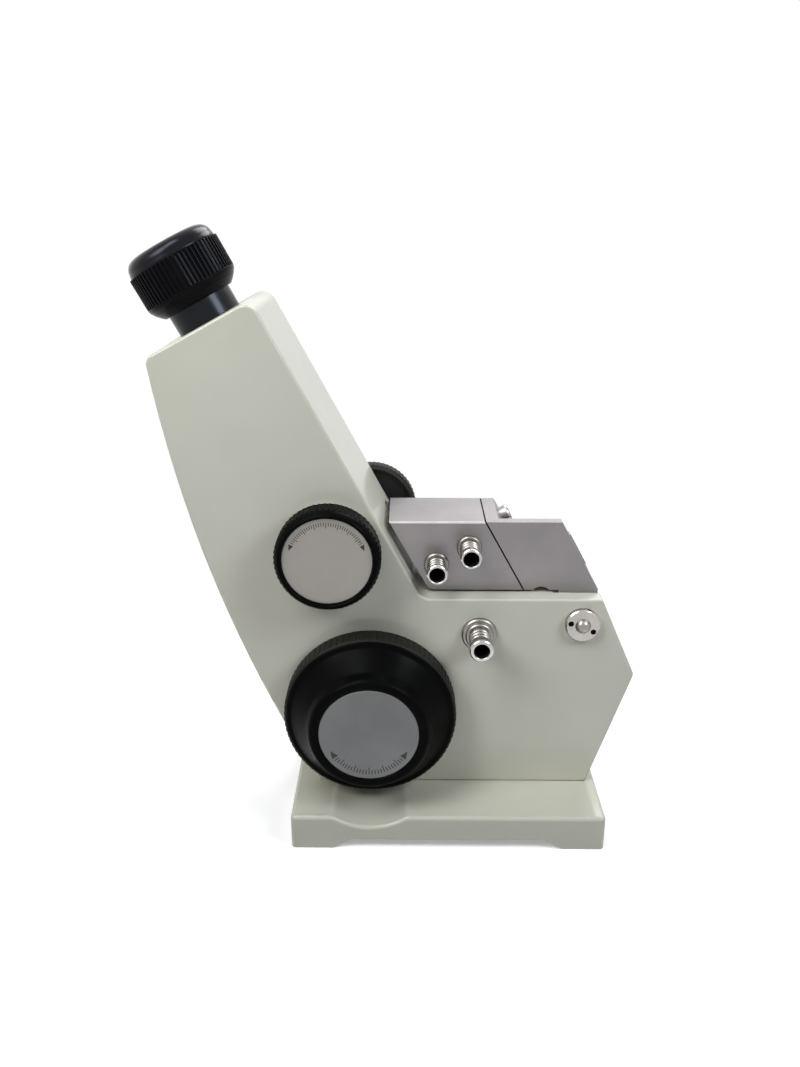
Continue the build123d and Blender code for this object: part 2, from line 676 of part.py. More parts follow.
with BuildPart() as upper_prism_seat:
    seat_outline = [
        (seat_left_x, box_bottom), (joint_x, box_bottom), (slant_x(joint_x, box_top), box_top),
        (slant_x(seat_left_x, box_top), box_top),
    ]
    with BuildSketch(side_plane(box_half)) as seat_face:
        with BuildLine():
            Polyline(seat_outline, close=True)
        make_face()
        low_left = seat_face.vertices().sort_by_distance((seat_left_x, box_bottom))[0]
        fillet(low_left, seat_corner_round)
    extrude(seat_face.sketch, amount=2 * box_half)
    far_top = upper_prism_seat.edges().group_by(Axis.Y)[-1].sort_by(Axis.Z)[-1]
    fillet(far_top, radius=3.0)
    near_top = upper_prism_seat.edges().group_by(Axis.Y)[0].sort_by(Axis.Z)[-1]
    fillet(near_top, radius=0.8)
    plate(prism_half, -prism_half, upper_prism_outline, Mode.SUBTRACT)
    joint_axis = (cos_b, 0, sin_b)
    light_x, light_z = box_point(0, light_axis_t)
    turn_about((light_x, 0, light_z), joint_axis, (0, 1, 0),
               [(0, -6), (light_r, -6), (light_r, 1), (0, 1)], Mode.SUBTRACT)
upper_tip_r = 4.25
upper_nozzle_spots = [(base_x - 5.19, 111.29, 12.1), (base_x + 7.78, 118.52, 13.6)]
with BuildPart(mode=Mode.PRIVATE) as nozzle_holes:
    for x, z, _ in upper_nozzle_spots:
        rod(x, z, -box_half + 3.0, -box_half - 1, upper_tip_r)
upper_prism_seat.part = upper_prism_seat.part - nozzle_holes.part
upper_prism_seat.part.label = "upper_prism_seat"
export_step(upper_prism_seat.part, "parts/upper_prism_seat.step")

with BuildPart() as upper_prism:
    plate(prism_half, -prism_half, upper_prism_outline)
upper_prism.part.label = "upper_prism"
export_step(upper_prism.part, "parts/upper_prism.step")

with BuildPart() as upper_nozzles:
    for x, z, length in upper_nozzle_spots:
        hose_nozzle(x, z, -box_half + 3.0, -box_half, length, 5.0, 2.9, upper_tip_r)
upper_nozzles.part.label = "upper_nozzles"
export_step(upper_nozzles.part, "parts/upper_nozzles.step")

# ---------------------------------------------------------------- light hood
cross_wall = 5.0            # thickness of its wall at the joint
joint_groove = 0.6
far_cheek_top = 113.5
inner_cheek = box_half - cheek
ear_r = 9.0
shade_n = cross_wall + 1.9  # shading plate's pin
shade_t = 21.0
shade_pin_r = 0.8
shade_lug_y = 4.6
mirror_n = 24.2             # reflecting mirror's pin
mirror_t = -11.0
mirror_pin_r = 0.9
boss_t = 23.7               # thermometer seat
boss_y = 8.6
boss_r = 3.4
boss_bore_r = 2.2


def cheek_outline(top):
    """A side plate of the hood, up to this height."""
    return [
        (joint_x, box_bottom), (hood_right_x, box_bottom), (slant_x(hood_right_x, top), top),
        (slant_x(joint_x, top), top),
    ]


with BuildPart() as light_hood:
    plate(box_half, -box_half, [
        (joint_x, box_bottom), (joint_x + cross_wall / cos_b, box_bottom),
        (slant_x(joint_x + cross_wall / cos_b, box_top), box_top),
        (slant_x(joint_x, box_top), box_top),
    ])
    far_top = light_hood.edges().group_by(Axis.Y)[-1].sort_by(Axis.Z)[-1]
    fillet(far_top, radius=3.0)
    plate(-inner_cheek, -box_half, cheek_outline(box_top))
    plate(box_half, inner_cheek, cheek_outline(far_cheek_top))
    plate(inner_cheek, -inner_cheek, [
        (joint_x + 2, box_bottom), (base_x + 47.0, box_bottom), (base_x + 47.0, box_bottom + 1.8),
        (joint_x + 2, box_bottom + 1.8),
    ])
    for y_far, y_near in ((-inner_cheek, -box_half), (box_half, inner_cheek)):
        rod(hinge_x, hinge_z, y_far, y_near, ear_r)
        plate(y_far, y_near, [
            (hinge_x - ear_r, hinge_z), (hinge_x + ear_r, hinge_z),
            (hinge_x + 6.6, box_bottom + 0.5), (hinge_x - 9.0, box_bottom + 0.5),
        ])
    rod(hinge_x, hinge_z, box_half, -box_half, hinge_shaft_r + running, Mode.SUBTRACT)
    # lugs for the shading plate's pin
    for y_far, y_near in ((-10.6, -inner_cheek), (shade_lug_y, shade_lug_y - 1.6)):
        lug = [box_point(cross_wall - 0.2, shade_t - 1.9), box_point(shade_n, shade_t - 1.9)]
        lug += [box_point(shade_n, shade_t + 1.9), box_point(cross_wall - 0.2, shade_t + 1.9)]
        plate(y_far, y_near, lug)
        rod(*box_point(shade_n, shade_t), y_far, y_near, 1.9)
    rod(*box_point(shade_n, shade_t), shade_lug_y, -box_half + 2, shade_pin_r, Mode.SUBTRACT)
    rod(*box_point(mirror_n, mirror_t), box_half - 2, -box_half + 2, mirror_pin_r, Mode.SUBTRACT)
    wall_x, wall_z = box_point(0, light_axis_t)
    turn_about((wall_x, 0, wall_z), joint_axis, (0, 1, 0),
               [(0, -1), (light_r, -1), (light_r, cross_wall + 1), (0, cross_wall + 1)],
               Mode.SUBTRACT)
    boss_x, boss_z = box_point(0, boss_t)
    turn_about((boss_x, boss_y, boss_z), joint_axis, (0, 1, 0),
               [(0, 1), (2.6, 1), (2.6, 7), (0, 7)], Mode.SUBTRACT)
    # narrow groove along the joint, on the near side and the top
    groove_side = [box_point(0, -2), box_point(joint_groove, -2), box_point(joint_groove, 40)]
    plate(-box_half + joint_groove, -box_half - 1, groove_side + [box_point(0, 40)], Mode.SUBTRACT)
    groove_top = []
    for z in (box_top - joint_groove, box_top + 1):
        groove_top += [(slant_x(joint_x, z), z), (slant_x(joint_x, z) + joint_groove, z)]
    groove_top = [groove_top[0], groove_top[1], groove_top[3], groove_top[2]]
    plate(box_half + 1, -box_half - 1, groove_top, Mode.SUBTRACT)
    # small arch in the near cheek's bottom edge
    with BuildSketch(side_plane(-inner_cheek + 1)) as arch:
        with Locations((base_x + 37.2, box_bottom - 1.2)):
            Ellipse(3.6, 2.6)
    extrude(arch.sketch, amount=cheek + 2, mode=Mode.SUBTRACT)
light_hood.part.label = "light_hood"
export_step(light_hood.part, "parts/light_hood.step")

with BuildPart() as thermometer_seat:
    turn_about((boss_x, boss_y, boss_z), joint_axis, (0, 1, 0), [
        (boss_bore_r, 1), (2.6, 1), (2.6, cross_wall), (boss_r, cross_wall),
        (boss_r, cross_wall + 3.0), (boss_r - 0.4, cross_wall + 3.6),
        (boss_bore_r, cross_wall + 3.6),
    ])
thermometer_seat.part.label = "thermometer_seat"
export_step(thermometer_seat.part, "parts/thermometer_seat.step")

# ---------------------------------------------------------------- shading plate in the hood
with BuildPart() as hood_pins:
    rod(*box_point(shade_n, shade_t), shade_lug_y, -box_half + 2, shade_pin_r)
    rod(*box_point(mirror_n, mirror_t), box_half - 2, -box_half + 2, mirror_pin_r)
hood_pins.part.label = "hood_pins"
export_step(hood_pins.part, "parts/hood_pins.step")

with BuildPart() as shading_plate:
    leaf = [box_point(cross_wall + gap, 4.0), box_point(cross_wall + gap + 1.2, 4.0)]
    leaf += [box_point(cross_wall + gap + 1.2, 18.4), box_point(cross_wall + gap, 18.4)]
    plate(8.5, -8.5, leaf)
    neck = [box_point(cross_wall + gap, 18.2), box_point(cross_wall + gap + 1.2, 18.2)]
    neck += [box_point(cross_wall + gap + 1.2, shade_t), box_point(cross_wall + gap, shade_t)]
    plate(shade_lug_y - 1.9, -10.2, neck)
    rod(*box_point(shade_n, shade_t), shade_lug_y - 1.9, -10.2, 1.6)
    tab = [box_point(cross_wall + gap + 1, 4.0), box_point(cross_wall + gap + 4, 4.0)]
    tab += [box_point(cross_wall + gap + 4, 5.2), box_point(cross_wall + gap + 1, 5.2)]
    plate(3.0, -3.0, tab)
    rod(*box_point(shade_n, shade_t), 5, -11, shade_pin_r + running, Mode.SUBTRACT)
shading_plate.part.label = "shading_plate"
export_step(shading_plate.part, "parts/shading_plate.step")

# ---------------------------------------------------------------- reflecting mirror in the hood
mirror_half = inner_cheek - 0.4
glass_half = mirror_half - 1.4
mirror_top_t = 4.0
with BuildPart() as mirror_frame:
    back = [box_point(mirror_n - 0.8, mirror_t), box_point(mirror_n + 1.2, mirror_t)]
    back += [box_point(mirror_n + 1.2, mirror_top_t), box_point(mirror_n - 0.8, mirror_top_t)]
    plate(mirror_half, -mirror_half, back)
    rod(*box_point(mirror_n, mirror_t), mirror_half, -mirror_half, 1.7)
    recess = [box_point(mirror_n - 2, mirror_t + 2.6), box_point(mirror_n + 0.2, mirror_t + 2.6)]
    recess += [box_point(mirror_n + 0.2, mirror_top_t - 1.2)]
    recess += [box_point(mirror_n - 2, mirror_top_t - 1.2)]
    plate(glass_half, -glass_half, recess, Mode.SUBTRACT)
    rod(*box_point(mirror_n, mirror_t), 20, -20, mirror_pin_r + running, Mode.SUBTRACT)
mirror_frame.part.label = "mirror_frame"
export_step(mirror_frame.part, "parts/mirror_frame.step")

with BuildPart() as mirror_glass:
    glass = [box_point(mirror_n - 0.8, mirror_t + 2.6), box_point(mirror_n + 0.2, mirror_t + 2.6)]
    glass += [box_point(mirror_n + 0.2, mirror_top_t - 1.2)]
    glass += [box_point(mirror_n - 0.8, mirror_top_t - 1.2)]
    plate(glass_half, -glass_half, glass)
mirror_glass.part.label = "mirror_glass"
export_step(mirror_glass.part, "parts/mirror_glass.step")

# ---------------------------------------------------------------- adjustment handwheel
rim_front = -34.2
rim_back = -25.75
with BuildPart() as adjustment_knob:
    rim_plane = Plane(origin=(adjust_x, rim_back, adjust_z), x_dir=(1, 0, 0), z_dir=(0, -1, 0))
    knurled_rim(rim_plane, rim_back - rim_front, adjust_r, adjust_grooves, 0.62)
    turn_about_y(adjust_x, adjust_z, [
        (0, rim_front), (34.2, rim_front), (33.4, rim_front - 0.9), (31.8, rim_front - 1.2),
        (24.9, -43.8), (24.4, -46.4), (23.6, -47.9), (22.4, -48.6), (20.9, -48.6),
        (adjust_disc_r, -47.9), (adjust_disc_r, -47.0), (0, -47.0),
    ])
    turn_about_y(adjust_x, adjust_z, [(12, rim_back + 1), (30, rim_back + 1), (30, -31), (12, -31)],
                 Mode.SUBTRACT)
    rod(adjust_x, adjust_z, -20, -44, shaft_r, Mode.SUBTRACT)
adjustment_knob.part.label = "adjustment_knob"
export_step(adjustment_knob.part, "parts/adjustment_knob.step")

with BuildPart() as adjustment_disc:
    turn_about_y(adjust_x, adjust_z, [
        (0, -47.0), (adjust_disc_r, -47.0), (adjust_disc_r, adjust_face_y + 0.3),
        (adjust_disc_r - 0.3, adjust_face_y), (0, adjust_face_y),
    ])
adjustment_disc.part.label = "adjustment_disc"
export_step(adjustment_disc.part, "parts/adjustment_disc.step")

pinion_y = (-13.0, -7.0)
tooth_backlash = 0.1
pivot_angle = degrees(atan2(pivot_z - adjust_z, pivot_x - adjust_x))
with BuildPart() as adjustment_shaft:
    rod(adjust_x, adjust_z, -6.0, -44.0, shaft_r)
    with BuildSketch(side_plane(pinion_y[1])) as gear:
        with Locations((adjust_x, adjust_z)):
            Circle(pinion_teeth * gear_module / 2 - 1.25 * gear_module)
            with PolarLocations(0, pinion_teeth, start_angle=pivot_angle):
                Polygon(*tooth_points(pinion_teeth, gear_module, 0.75 * gear_module,
                                      1.25 * gear_module, tooth_backlash), align=None)
    extrude(gear.sketch, amount=pinion_y[1] - pinion_y[0])
adjustment_shaft.part.label = "adjustment_shaft"
export_step(adjustment_shaft.part, "parts/adjustment_shaft.step")

# ---------------------------------------------------------------- toothed sector and its load
sector_y = (-12.0, -8.0)
branch_y = (13.0, 17.0)
hub_r = 5.5
tooth_count = 8
sector_pitch = 360.0 / sector_teeth
toward_knob = pivot_angle + 180.0
sector_root_r = sector_teeth * gear_module / 2 - 1.25 * gear_module


with BuildPart() as sector_pivot:
    rod(pivot_x, pivot_z, inner_half, -inner_half, pivot_r)
sector_pivot.part.label = "sector_pivot"
export_step(sector_pivot.part, "parts/sector_pivot.step")

out_ray = Vector(*up_axis)
mirror_normal = (out_ray - in_ray).normalized()
mirror_along = Vector(mirror_normal.Z, 0, -mirror_normal.X)


def mirror_spot(along, height):
    """A point of the swing mirror's section, from the pivot."""
    spot = mirror_along * along + mirror_normal * height
    return (pivot_x + spot.X, pivot_z + spot.Z)


with BuildPart() as sector_arm:
    rod(pivot_x, pivot_z, branch_y[1], sector_y[0], hub_r)
    half_span = sector_pitch * (tooth_count / 2 + 0.1)
    with BuildSketch(side_plane(sector_y[1])) as web:
        with BuildLine():
            rim = ThreePointArc(
                polar_from_pivot(sector_root_r, toward_knob - half_span),
                polar_from_pivot(sector_root_r, toward_knob),
                polar_from_pivot(sector_root_r, toward_knob + half_span),
            )
            Polyline(rim @ 1, polar_from_pivot(5.0, toward_knob + 60),
                     polar_from_pivot(5.0, toward_knob - 60), rim @ 0)
        make_face()
        with Locations((pivot_x, pivot_z)):
            first_tooth = toward_knob - sector_pitch * (tooth_count - 1) / 2
            span = sector_pitch * (tooth_count - 1)
            with PolarLocations(0, tooth_count, start_angle=first_tooth, angular_range=span,
                                endpoint=True):
                Polygon(*tooth_points(sector_teeth, gear_module, 0.75 * gear_module,
                                      1.25 * gear_module, tooth_backlash), align=None)
    extrude(web.sketch, amount=sector_y[1] - sector_y[0])
    branch = [polar_from_pivot(5.0, scale_angle + 60), polar_from_pivot(25.2, scale_angle + 10)]
    branch += [polar_from_pivot(25.2, scale_angle - 10), polar_from_pivot(5.0, scale_angle - 60)]
    plate(branch_y[1], branch_y[0], branch)
    # cradle of the swing mirror
    plate(4.5, -7.0, [mirror_spot(-9, 5.2), mirror_spot(9, 5.2), mirror_spot(9, 7.4),
                      mirror_spot(-9, 7.4)])
    plate(4.5, -7.0, [mirror_spot(-4.5, 0), mirror_spot(4.5, 0), mirror_spot(4.5, 5.4),
                      mirror_spot(-4.5, 5.4)])
    rod(pivot_x, pivot_z, 30, -30, pivot_r + running, Mode.SUBTRACT)
sector_arm.part.label = "sector_arm"
export_step(sector_arm.part, "parts/sector_arm.step")

with BuildPart() as scale_plate:
    glass_in = scale_r - 7.5
    glass_out = scale_r + 5.0
    with BuildSketch(side_plane(branch_y[1] + 1.5)) as glass_face:
        with BuildLine():
            outer = ThreePointArc(polar_from_pivot(glass_out, scale_angle - 20),
                                  polar_from_pivot(glass_out, scale_angle),
                                  polar_from_pivot(glass_out, scale_angle + 20))
            inner = ThreePointArc(polar_from_pivot(glass_in, scale_angle + 20),
                                  polar_from_pivot(glass_in, scale_angle),
                                  polar_from_pivot(glass_in, scale_angle - 20))
            Line(outer @ 1, inner @ 0)
            Line(inner @ 1, outer @ 0)
        make_face()
    extrude(glass_face.sketch, amount=1.5)
scale_plate.part.label = "scale_plate"
export_step(scale_plate.part, "parts/scale_plate.step")

with BuildPart() as swing_mirror:
    plate(4.5, -7.0, [mirror_spot(-8.4, 7.4), mirror_spot(8.4, 7.4), mirror_spot(8.4, 9.2),
                      mirror_spot(-8.4, 9.2)])
swing_mirror.part.label = "swing_mirror"
export_step(swing_mirror.part, "parts/swing_mirror.step")

# ---------------------------------------------------------------- dispersion handwheel
disk_y = -36.7
with BuildPart() as dispersion_knob:
    grip_back = -27.6
    grip_plane = Plane(origin=(disperse_x, grip_back, disperse_z), x_dir=(1, 0, 0),
                       z_dir=(0, -1, 0))
    knurled_rim(grip_plane, 8.0, disperse_r, disperse_grooves, 0.75)
    turn_about_y(disperse_x, disperse_z, [
        (0, -35.6), (20.0, -35.6), (20.0, -36.2), (19.2, -37.6), (18.7, -38.2), (18.1, -38.34),
        (disperse_disc_r, -37.9), (disperse_disc_r, -36.0), (0, -36.0),
    ])
    rod(disperse_x, disperse_z, -20, -34, shaft_r, Mode.SUBTRACT)
dispersion_knob.part.label = "dispersion_knob"
export_step(dispersion_knob.part, "parts/dispersion_knob.step")

with BuildPart() as dispersion_disc:
    turn_about_y(disperse_x, disperse_z, [
        (0, -36.0), (disperse_disc_r, -36.0), (disperse_disc_r, disk_y + 0.25),
        (disperse_disc_r - 0.3, disk_y), (0, disk_y),
    ])
dispersion_disc.part.label = "dispersion_disc"
export_step(dispersion_disc.part, "parts/dispersion_disc.step")

with BuildPart() as dispersion_scale_ring:
    turn_about_y(disperse_x, disperse_z, [
        (shaft_r, grip_back), (18.6, grip_back), (18.2, -body_half - 0.6),
        (shaft_r, -body_half - 0.6),
    ])
dispersion_scale_ring.part.label = "dispersion_scale_ring"
export_step(dispersion_scale_ring.part, "parts/dispersion_scale_ring.step")

# ---------------------------------------------------------------- bevel drive of the compensator
bevel_module = 0.72
crown_teeth = 36
bevel_teeth = 12
crown_r = crown_teeth * bevel_module / 2
bevel_r = bevel_teeth * bevel_module / 2
cone_length = sqrt(crown_r ** 2 + bevel_r ** 2)
small_end = 0.73            # size of the teeth's inner ends against the outer ones
bevel_add = 0.5
bevel_ded = 0.68
bevel_half = pi * bevel_module / 4 - 0.06
slope = tan(radians(20))
bevel_center = Vector(disperse_x, 0, disperse_z)


def bevel_tooth(axis_dir, radial_dir, pitch_radius, pitch_height):
    """One straight bevel tooth whose edges all run to the crossing point of the two axes.

    The pitch point lies pitch_radius out along radial_dir and pitch_height along axis_dir.
    """
    axis_dir = Vector(*axis_dir)
    radial_dir = Vector(*radial_dir)
    pitch = radial_dir * pitch_radius + axis_dir * pitch_height
    outward = (radial_dir * pitch_height - axis_dir * pitch_radius) / cone_length
    if outward.dot(radial_dir) < 0:
        outward = outward * -1
    sideways = axis_dir.cross(radial_dir)
    depth = bevel_ded + 0.25
    corners = [(-bevel_half - depth * slope, -depth), (bevel_half + depth * slope, -depth)]
    corners += [(bevel_half - bevel_add * slope, bevel_add)]
    corners += [(-bevel_half + bevel_add * slope, bevel_add)]
    ends = []
    for size in (1.0, small_end):
        center = bevel_center + pitch * size
        with BuildSketch(Plane(origin=center, x_dir=sideways,
                               z_dir=sideways.cross(outward))) as end:
            with BuildLine():
                Polyline([(u * size, v * size) for u, v in corners], close=True)
            make_face()
        ends.append(end.sketch)
    return loft(ends, ruled=True, mode=Mode.PRIVATE)


with BuildPart() as dispersion_shaft:
    big_root = (bevel_r - bevel_ded * crown_r / cone_length,
                -crown_r + bevel_ded * bevel_r / cone_length)
    turn_about_y(disperse_x, disperse_z, [
        (0, big_root[1] * small_end), (big_root[0] * small_end, big_root[1] * small_end),
        big_root, (big_root[0], big_root[1] - 1.6), (0, big_root[1] - 1.6),
    ])
    one_tooth = bevel_tooth((0, -1, 0), up_axis, bevel_r, crown_r)
    add([one_tooth.rotate(Axis((disperse_x, 0, disperse_z), (0, -1, 0)), 360.0 * k / bevel_teeth)
         for k in range(bevel_teeth)])
    rod(disperse_x, disperse_z, big_root[1], -34.0, shaft_r)
dispersion_shaft.part.label = "dispersion_shaft"
export_step(dispersion_shaft.part, "parts/dispersion_shaft.step")

journal_r = 9.0
cell_bore = 7.0
journal_end = 17.0
crown_back = 8.4
for name, side in (("compensator_cell_upper", 1), ("compensator_cell_lower", -1)):
    with BuildPart() as cell:
        root = (crown_r - bevel_ded * bevel_r / cone_length,
                bevel_r + bevel_ded * crown_r / cone_length)
        turn_telescope([
            (cell_bore, side * root[1] * small_end),
            (root[0] * small_end, side * root[1] * small_end), (root[0], side * root[1]),
            (root[0], side * crown_back), (journal_r, side * crown_back),
            (journal_r, side * journal_end), (cell_bore, side * journal_end),
        ])
        one_tooth = bevel_tooth([side * v for v in up_axis], (0, -1, 0), crown_r, bevel_r)
        turn_axis = Axis((disperse_x, 0, disperse_z), up_axis)
        add([one_tooth.rotate(turn_axis, 360.0 * (k + 0.5) / crown_teeth)
             for k in range(crown_teeth)])
    cell.part.label = name
    export_step(cell.part, f"parts/{name}.step")

for name, side in (("compensator_prism_upper", 1), ("compensator_prism_lower", -1)):
    with BuildPart() as amici:
        turn_telescope([(0, side * 6.0), (cell_bore, side * 6.0), (cell_bore, side * 15.5),
                        (0, side * 15.5)])
    amici.part.label = name
    export_step(amici.part, f"parts/{name}.step")

frame_r = 15.6
with BuildPart() as compensator_frame:
    for side in (-1, 1):
        turn_telescope([
            (journal_r + running, side * 13.0), (frame_r, side * 13.0), (frame_r, side * 16.0),
            (journal_r + running, side * 16.0),
        ])
    # back wall between the two bearing plates, on the column's bowed side and the near side
    with BuildSketch(tele_plane(-13.0)) as shell:
        Circle(frame_r)
        Circle(14.0, mode=Mode.SUBTRACT)
        with Locations((20 - 2.0, 0)):
            Rectangle(40, 60, mode=Mode.SUBTRACT)
        with Locations((0, 20 + 6.0)):
            Rectangle(60, 40, mode=Mode.SUBTRACT)
    extrude(shell.sketch, amount=26)
    with BuildSketch(tele_plane(-16.0)) as feet:
        with Locations((0, -(inner_half + 14.2) / 2)):
            Rectangle(17, inner_half - 14.2)
    for start in (0, 29):
        extrude(feet.sketch.moved(Location(Vector(*up_axis) * start)), amount=3)
    rod(disperse_x, disperse_z, -8, -20, 6.4, Mode.SUBTRACT)
compensator_frame.part.label = "compensator_frame"
export_step(compensator_frame.part, "parts/compensator_frame.step")

# ---------------------------------------------------------------- eyepiece that focuses
cell_r = cell_bore_r - running
cell_foot = top_s + 1.5
flange_s = top_s + 28.6
with BuildPart() as eyepiece_cell:
    turn_telescope([
        (6.8, cell_foot), (cell_r, cell_foot), (cell_r, flange_s), (10.2, flange_s),
        (10.2, flange_s + 1.4), (6.8, flange_s + 1.4),
    ])
eyepiece_cell.part.label = "eyepiece_cell"
export_step(eyepiece_cell.part, "parts/eyepiece_cell.step")

with BuildPart() as eye_lens:
    turn_telescope([(0, flange_s - 3.2), (6.8, flange_s - 2.4), (6.8, flange_s + 0.2),
                    (4.0, flange_s + 0.9), (0, flange_s + 1.2)])
eye_lens.part.label = "eye_lens"
export_step(eye_lens.part, "parts/eye_lens.step")

with BuildPart() as field_lens:
    turn_telescope([(0, cell_foot + 2.0), (6.8, cell_foot + 2.0), (6.8, cell_foot + 3.6),
                    (4.0, cell_foot + 4.6), (0, cell_foot + 5.0)])
field_lens.part.label = "field_lens"
export_step(field_lens.part, "parts/field_lens.step")

collar_s = top_s + 8.0
ribs_s = top_s + 13.8
ribs_end = top_s + 26.2
grip_floor = neck_end + 2.6
with BuildPart() as eyepiece_grip:
    turn_telescope([
        (neck_r + gap, collar_s), (14.1, collar_s), (16.6, top_s + 10.4), (18.3, top_s + 12.8),
        (18.4, ribs_s), (17.7, ribs_s), (17.7, ribs_end),
        (cell_bore_r, ribs_end), (cell_bore_r, grip_floor), (neck_r + gap, grip_floor),
    ])
    with BuildSketch(tele_plane(ribs_s)) as ribs:
        Circle(grip_r)
        with PolarLocations(grip_r + 0.15, grip_grooves):
            Rectangle(1.5, 0.8, mode=Mode.SUBTRACT)
        Circle(17.0, mode=Mode.SUBTRACT)
    extrude(ribs.sketch, amount=ribs_end - ribs_s)
eyepiece_grip.part.label = "eyepiece_grip"
export_step(eyepiece_grip.part, "parts/eyepiece_grip.step")

with BuildPart() as eyecup:
    with BuildSketch(Plane(origin=tele_point(0), x_dir=(0, 1, 0),
                           z_dir=Vector(0, 1, 0).cross(Vector(*up_axis)))):
        with BuildLine():
            start = Polyline((10.6, flange_s + 1.6), (10.6, ribs_end), (17.8, ribs_end),
                             (17.5, top_s + 28.9))
            shoulder = ThreePointArc(start @ 1, (16.0, top_s + 31.0), (13.2, top_s + 32.4))
            Polyline(shoulder @ 1, (12.2, top_s + 32.4), start @ 0)
        make_face()
    revolve(axis=Axis(tele_point(0), up_axis))
eyecup.part.label = "eyecup"
export_step(eyecup.part, "parts/eyecup.step")

# ---------------------------------------------------------------- lock handwheel
lock_near = 27.2
lock_far = 34.4
with BuildPart() as lock_handwheel:
    wheel_plane = Plane(origin=(lock_x, lock_near + 1.6, lock_z), x_dir=(-1, 0, 0),
                        z_dir=(0, 1, 0))
    knurled_rim(wheel_plane, lock_far - lock_near - 1.6, lock_r, lock_grooves, 0.7)
    turn_about_y(lock_x, lock_z, [
        (0, lock_near + 1.6), (0, lock_near + 0.4), (8.0, lock_near + 0.4),
        (8.0, lock_near + 1.6),
    ])
    turn_about_y(lock_x, lock_z, [
        (17.4, lock_near), (18.2, lock_near), (19.0, lock_near + 1.6), (17.4, lock_near + 1.6),
    ])
    turn_about_y(lock_x, lock_z, [
        (0, lock_far), (18.8, lock_far), (17.6, lock_far + 1.2), (15.0, lock_far + 1.2),
        (13.6, lock_far + 0.6), (8.4, lock_far + 0.6), (7.6, lock_far + 1.6), (0, lock_far + 1.9),
    ])
    rod(lock_x, lock_z, lock_far, 20, shaft_r, Mode.SUBTRACT)
lock_handwheel.part.label = "lock_handwheel"
export_step(lock_handwheel.part, "parts/lock_handwheel.step")

with BuildPart() as lock_shaft:
    rod(lock_x, lock_z, lock_far, cam_y[1], shaft_r)
    rod(lock_x, lock_z, cam_y[1], cam_y[0], 4.6)
    cam_plane = Plane(origin=(lock_x, cam_y[1], lock_z), x_dir=(cos_b, 0, sin_b),
                      z_dir=(0, -1, 0))
    with BuildSketch(cam_plane) as finger:
        with BuildLine():
            Polyline((0, -4.0), (cam_length - 1.0, -2.2), (cam_length, -1.2), (cam_length, 1.2),
                     (cam_length - 1.0, 2.2), (0, 4.0), close=True)
        make_face()
    extrude(finger.sketch, amount=cam_y[1] - cam_y[0])
lock_shaft.part.label = "lock_shaft"
export_step(lock_shaft.part, "parts/lock_shaft.step")

# ---------------------------------------------------------------- scale window on the cover
lug_half = 9.0
flap_z = window_z - 9.5
flap_y = body_half + 4.0
flap_pin_r = 0.9
with BuildPart() as scale_window:
    turn_about_y(window_x, window_z, [
        (3.6, body_half), (8.0, body_half), (8.0, body_half + 1.4), (7.2, body_half + 2.0),
        (3.6, body_half + 2.0),
    ])
    for side in (-1, 1):
        x_in = window_x + side * (lug_half - 1.0)
        with BuildSketch(Plane(origin=(x_in - 1.0, 0, 0), x_dir=(0, 1, 0), z_dir=(1, 0, 0))) as lug:
            with BuildLine():
                Polyline((body_half, flap_z - 3), (flap_y, flap_z - 2), (flap_y + 1.6, flap_z),
                         (flap_y, flap_z + 2), (body_half, flap_z + 3), close=True)
            make_face()
            with Locations((flap_y, flap_z)):
                Circle(flap_pin_r, mode=Mode.SUBTRACT)
        extrude(lug.sketch, amount=2.0)
    with BuildSketch(side_plane(body_half + 1.4)) as foot:
        with Locations((window_x, flap_z + 0.8)):
            Rectangle(2 * lug_half, 5.2)
    extrude(foot.sketch, amount=1.4)
scale_window.part.label = "scale_window"
export_step(scale_window.part, "parts/scale_window.step")

with BuildPart() as condenser_lens:
    turn_about_y(window_x, window_z, [
        (0, inner_half + 0.4), (window_r, inner_half + 0.4), (window_r, body_half),
        (0, body_half),
    ])
condenser_lens.part.label = "condenser_lens"
export_step(condenser_lens.part, "parts/condenser_lens.step")

with BuildPart() as flap_pin:
    with BuildSketch(Plane(origin=(window_x - lug_half, 0, 0), x_dir=(0, 1, 0),
                           z_dir=(1, 0, 0))) as pin:
        with Locations((flap_y, flap_z)):
            Circle(flap_pin_r)
    extrude(pin.sketch, amount=2 * lug_half)
flap_pin.part.label = "flap_pin"
export_step(flap_pin.part, "parts/flap_pin.step")

flap_angle = 50.0           # the flap leans out from the cover at rest
flap_length = 17.0
flap_half = lug_half - 2.0 - gap
flap_dir = (sin(radians(flap_angle)), cos(radians(flap_angle)))      # (y, z)
flap_out = (cos(radians(flap_angle)), -sin(radians(flap_angle)))


def flap_spot(along, out):
    """A point of the flap's section, as (y, z)."""
    return (flap_y + flap_dir[0] * along + flap_out[0] * out,
            flap_z + flap_dir[1] * along + flap_out[1] * out)


flap_section = Plane(origin=(window_x, 0, 0), x_dir=(0, 1, 0), z_dir=(1, 0, 0))
with BuildPart() as condenser_flap:
    with BuildSketch(flap_section) as flap_face:
        with BuildLine():
            Polyline(flap_spot(0, -0.4), flap_spot(0, 1.5), flap_spot(flap_length, 1.5),
                     flap_spot(flap_length, -0.4), close=True)
        make_face()
        with Locations((flap_y, flap_z)):
            Circle(1.7)
        with Locations((flap_y, flap_z)):
            Circle(flap_pin_r + running, mode=Mode.SUBTRACT)
    extrude(flap_face.sketch, amount=flap_half, both=True)
condenser_flap.part.label = "condenser_flap"
export_step(condenser_flap.part, "parts/condenser_flap.step")

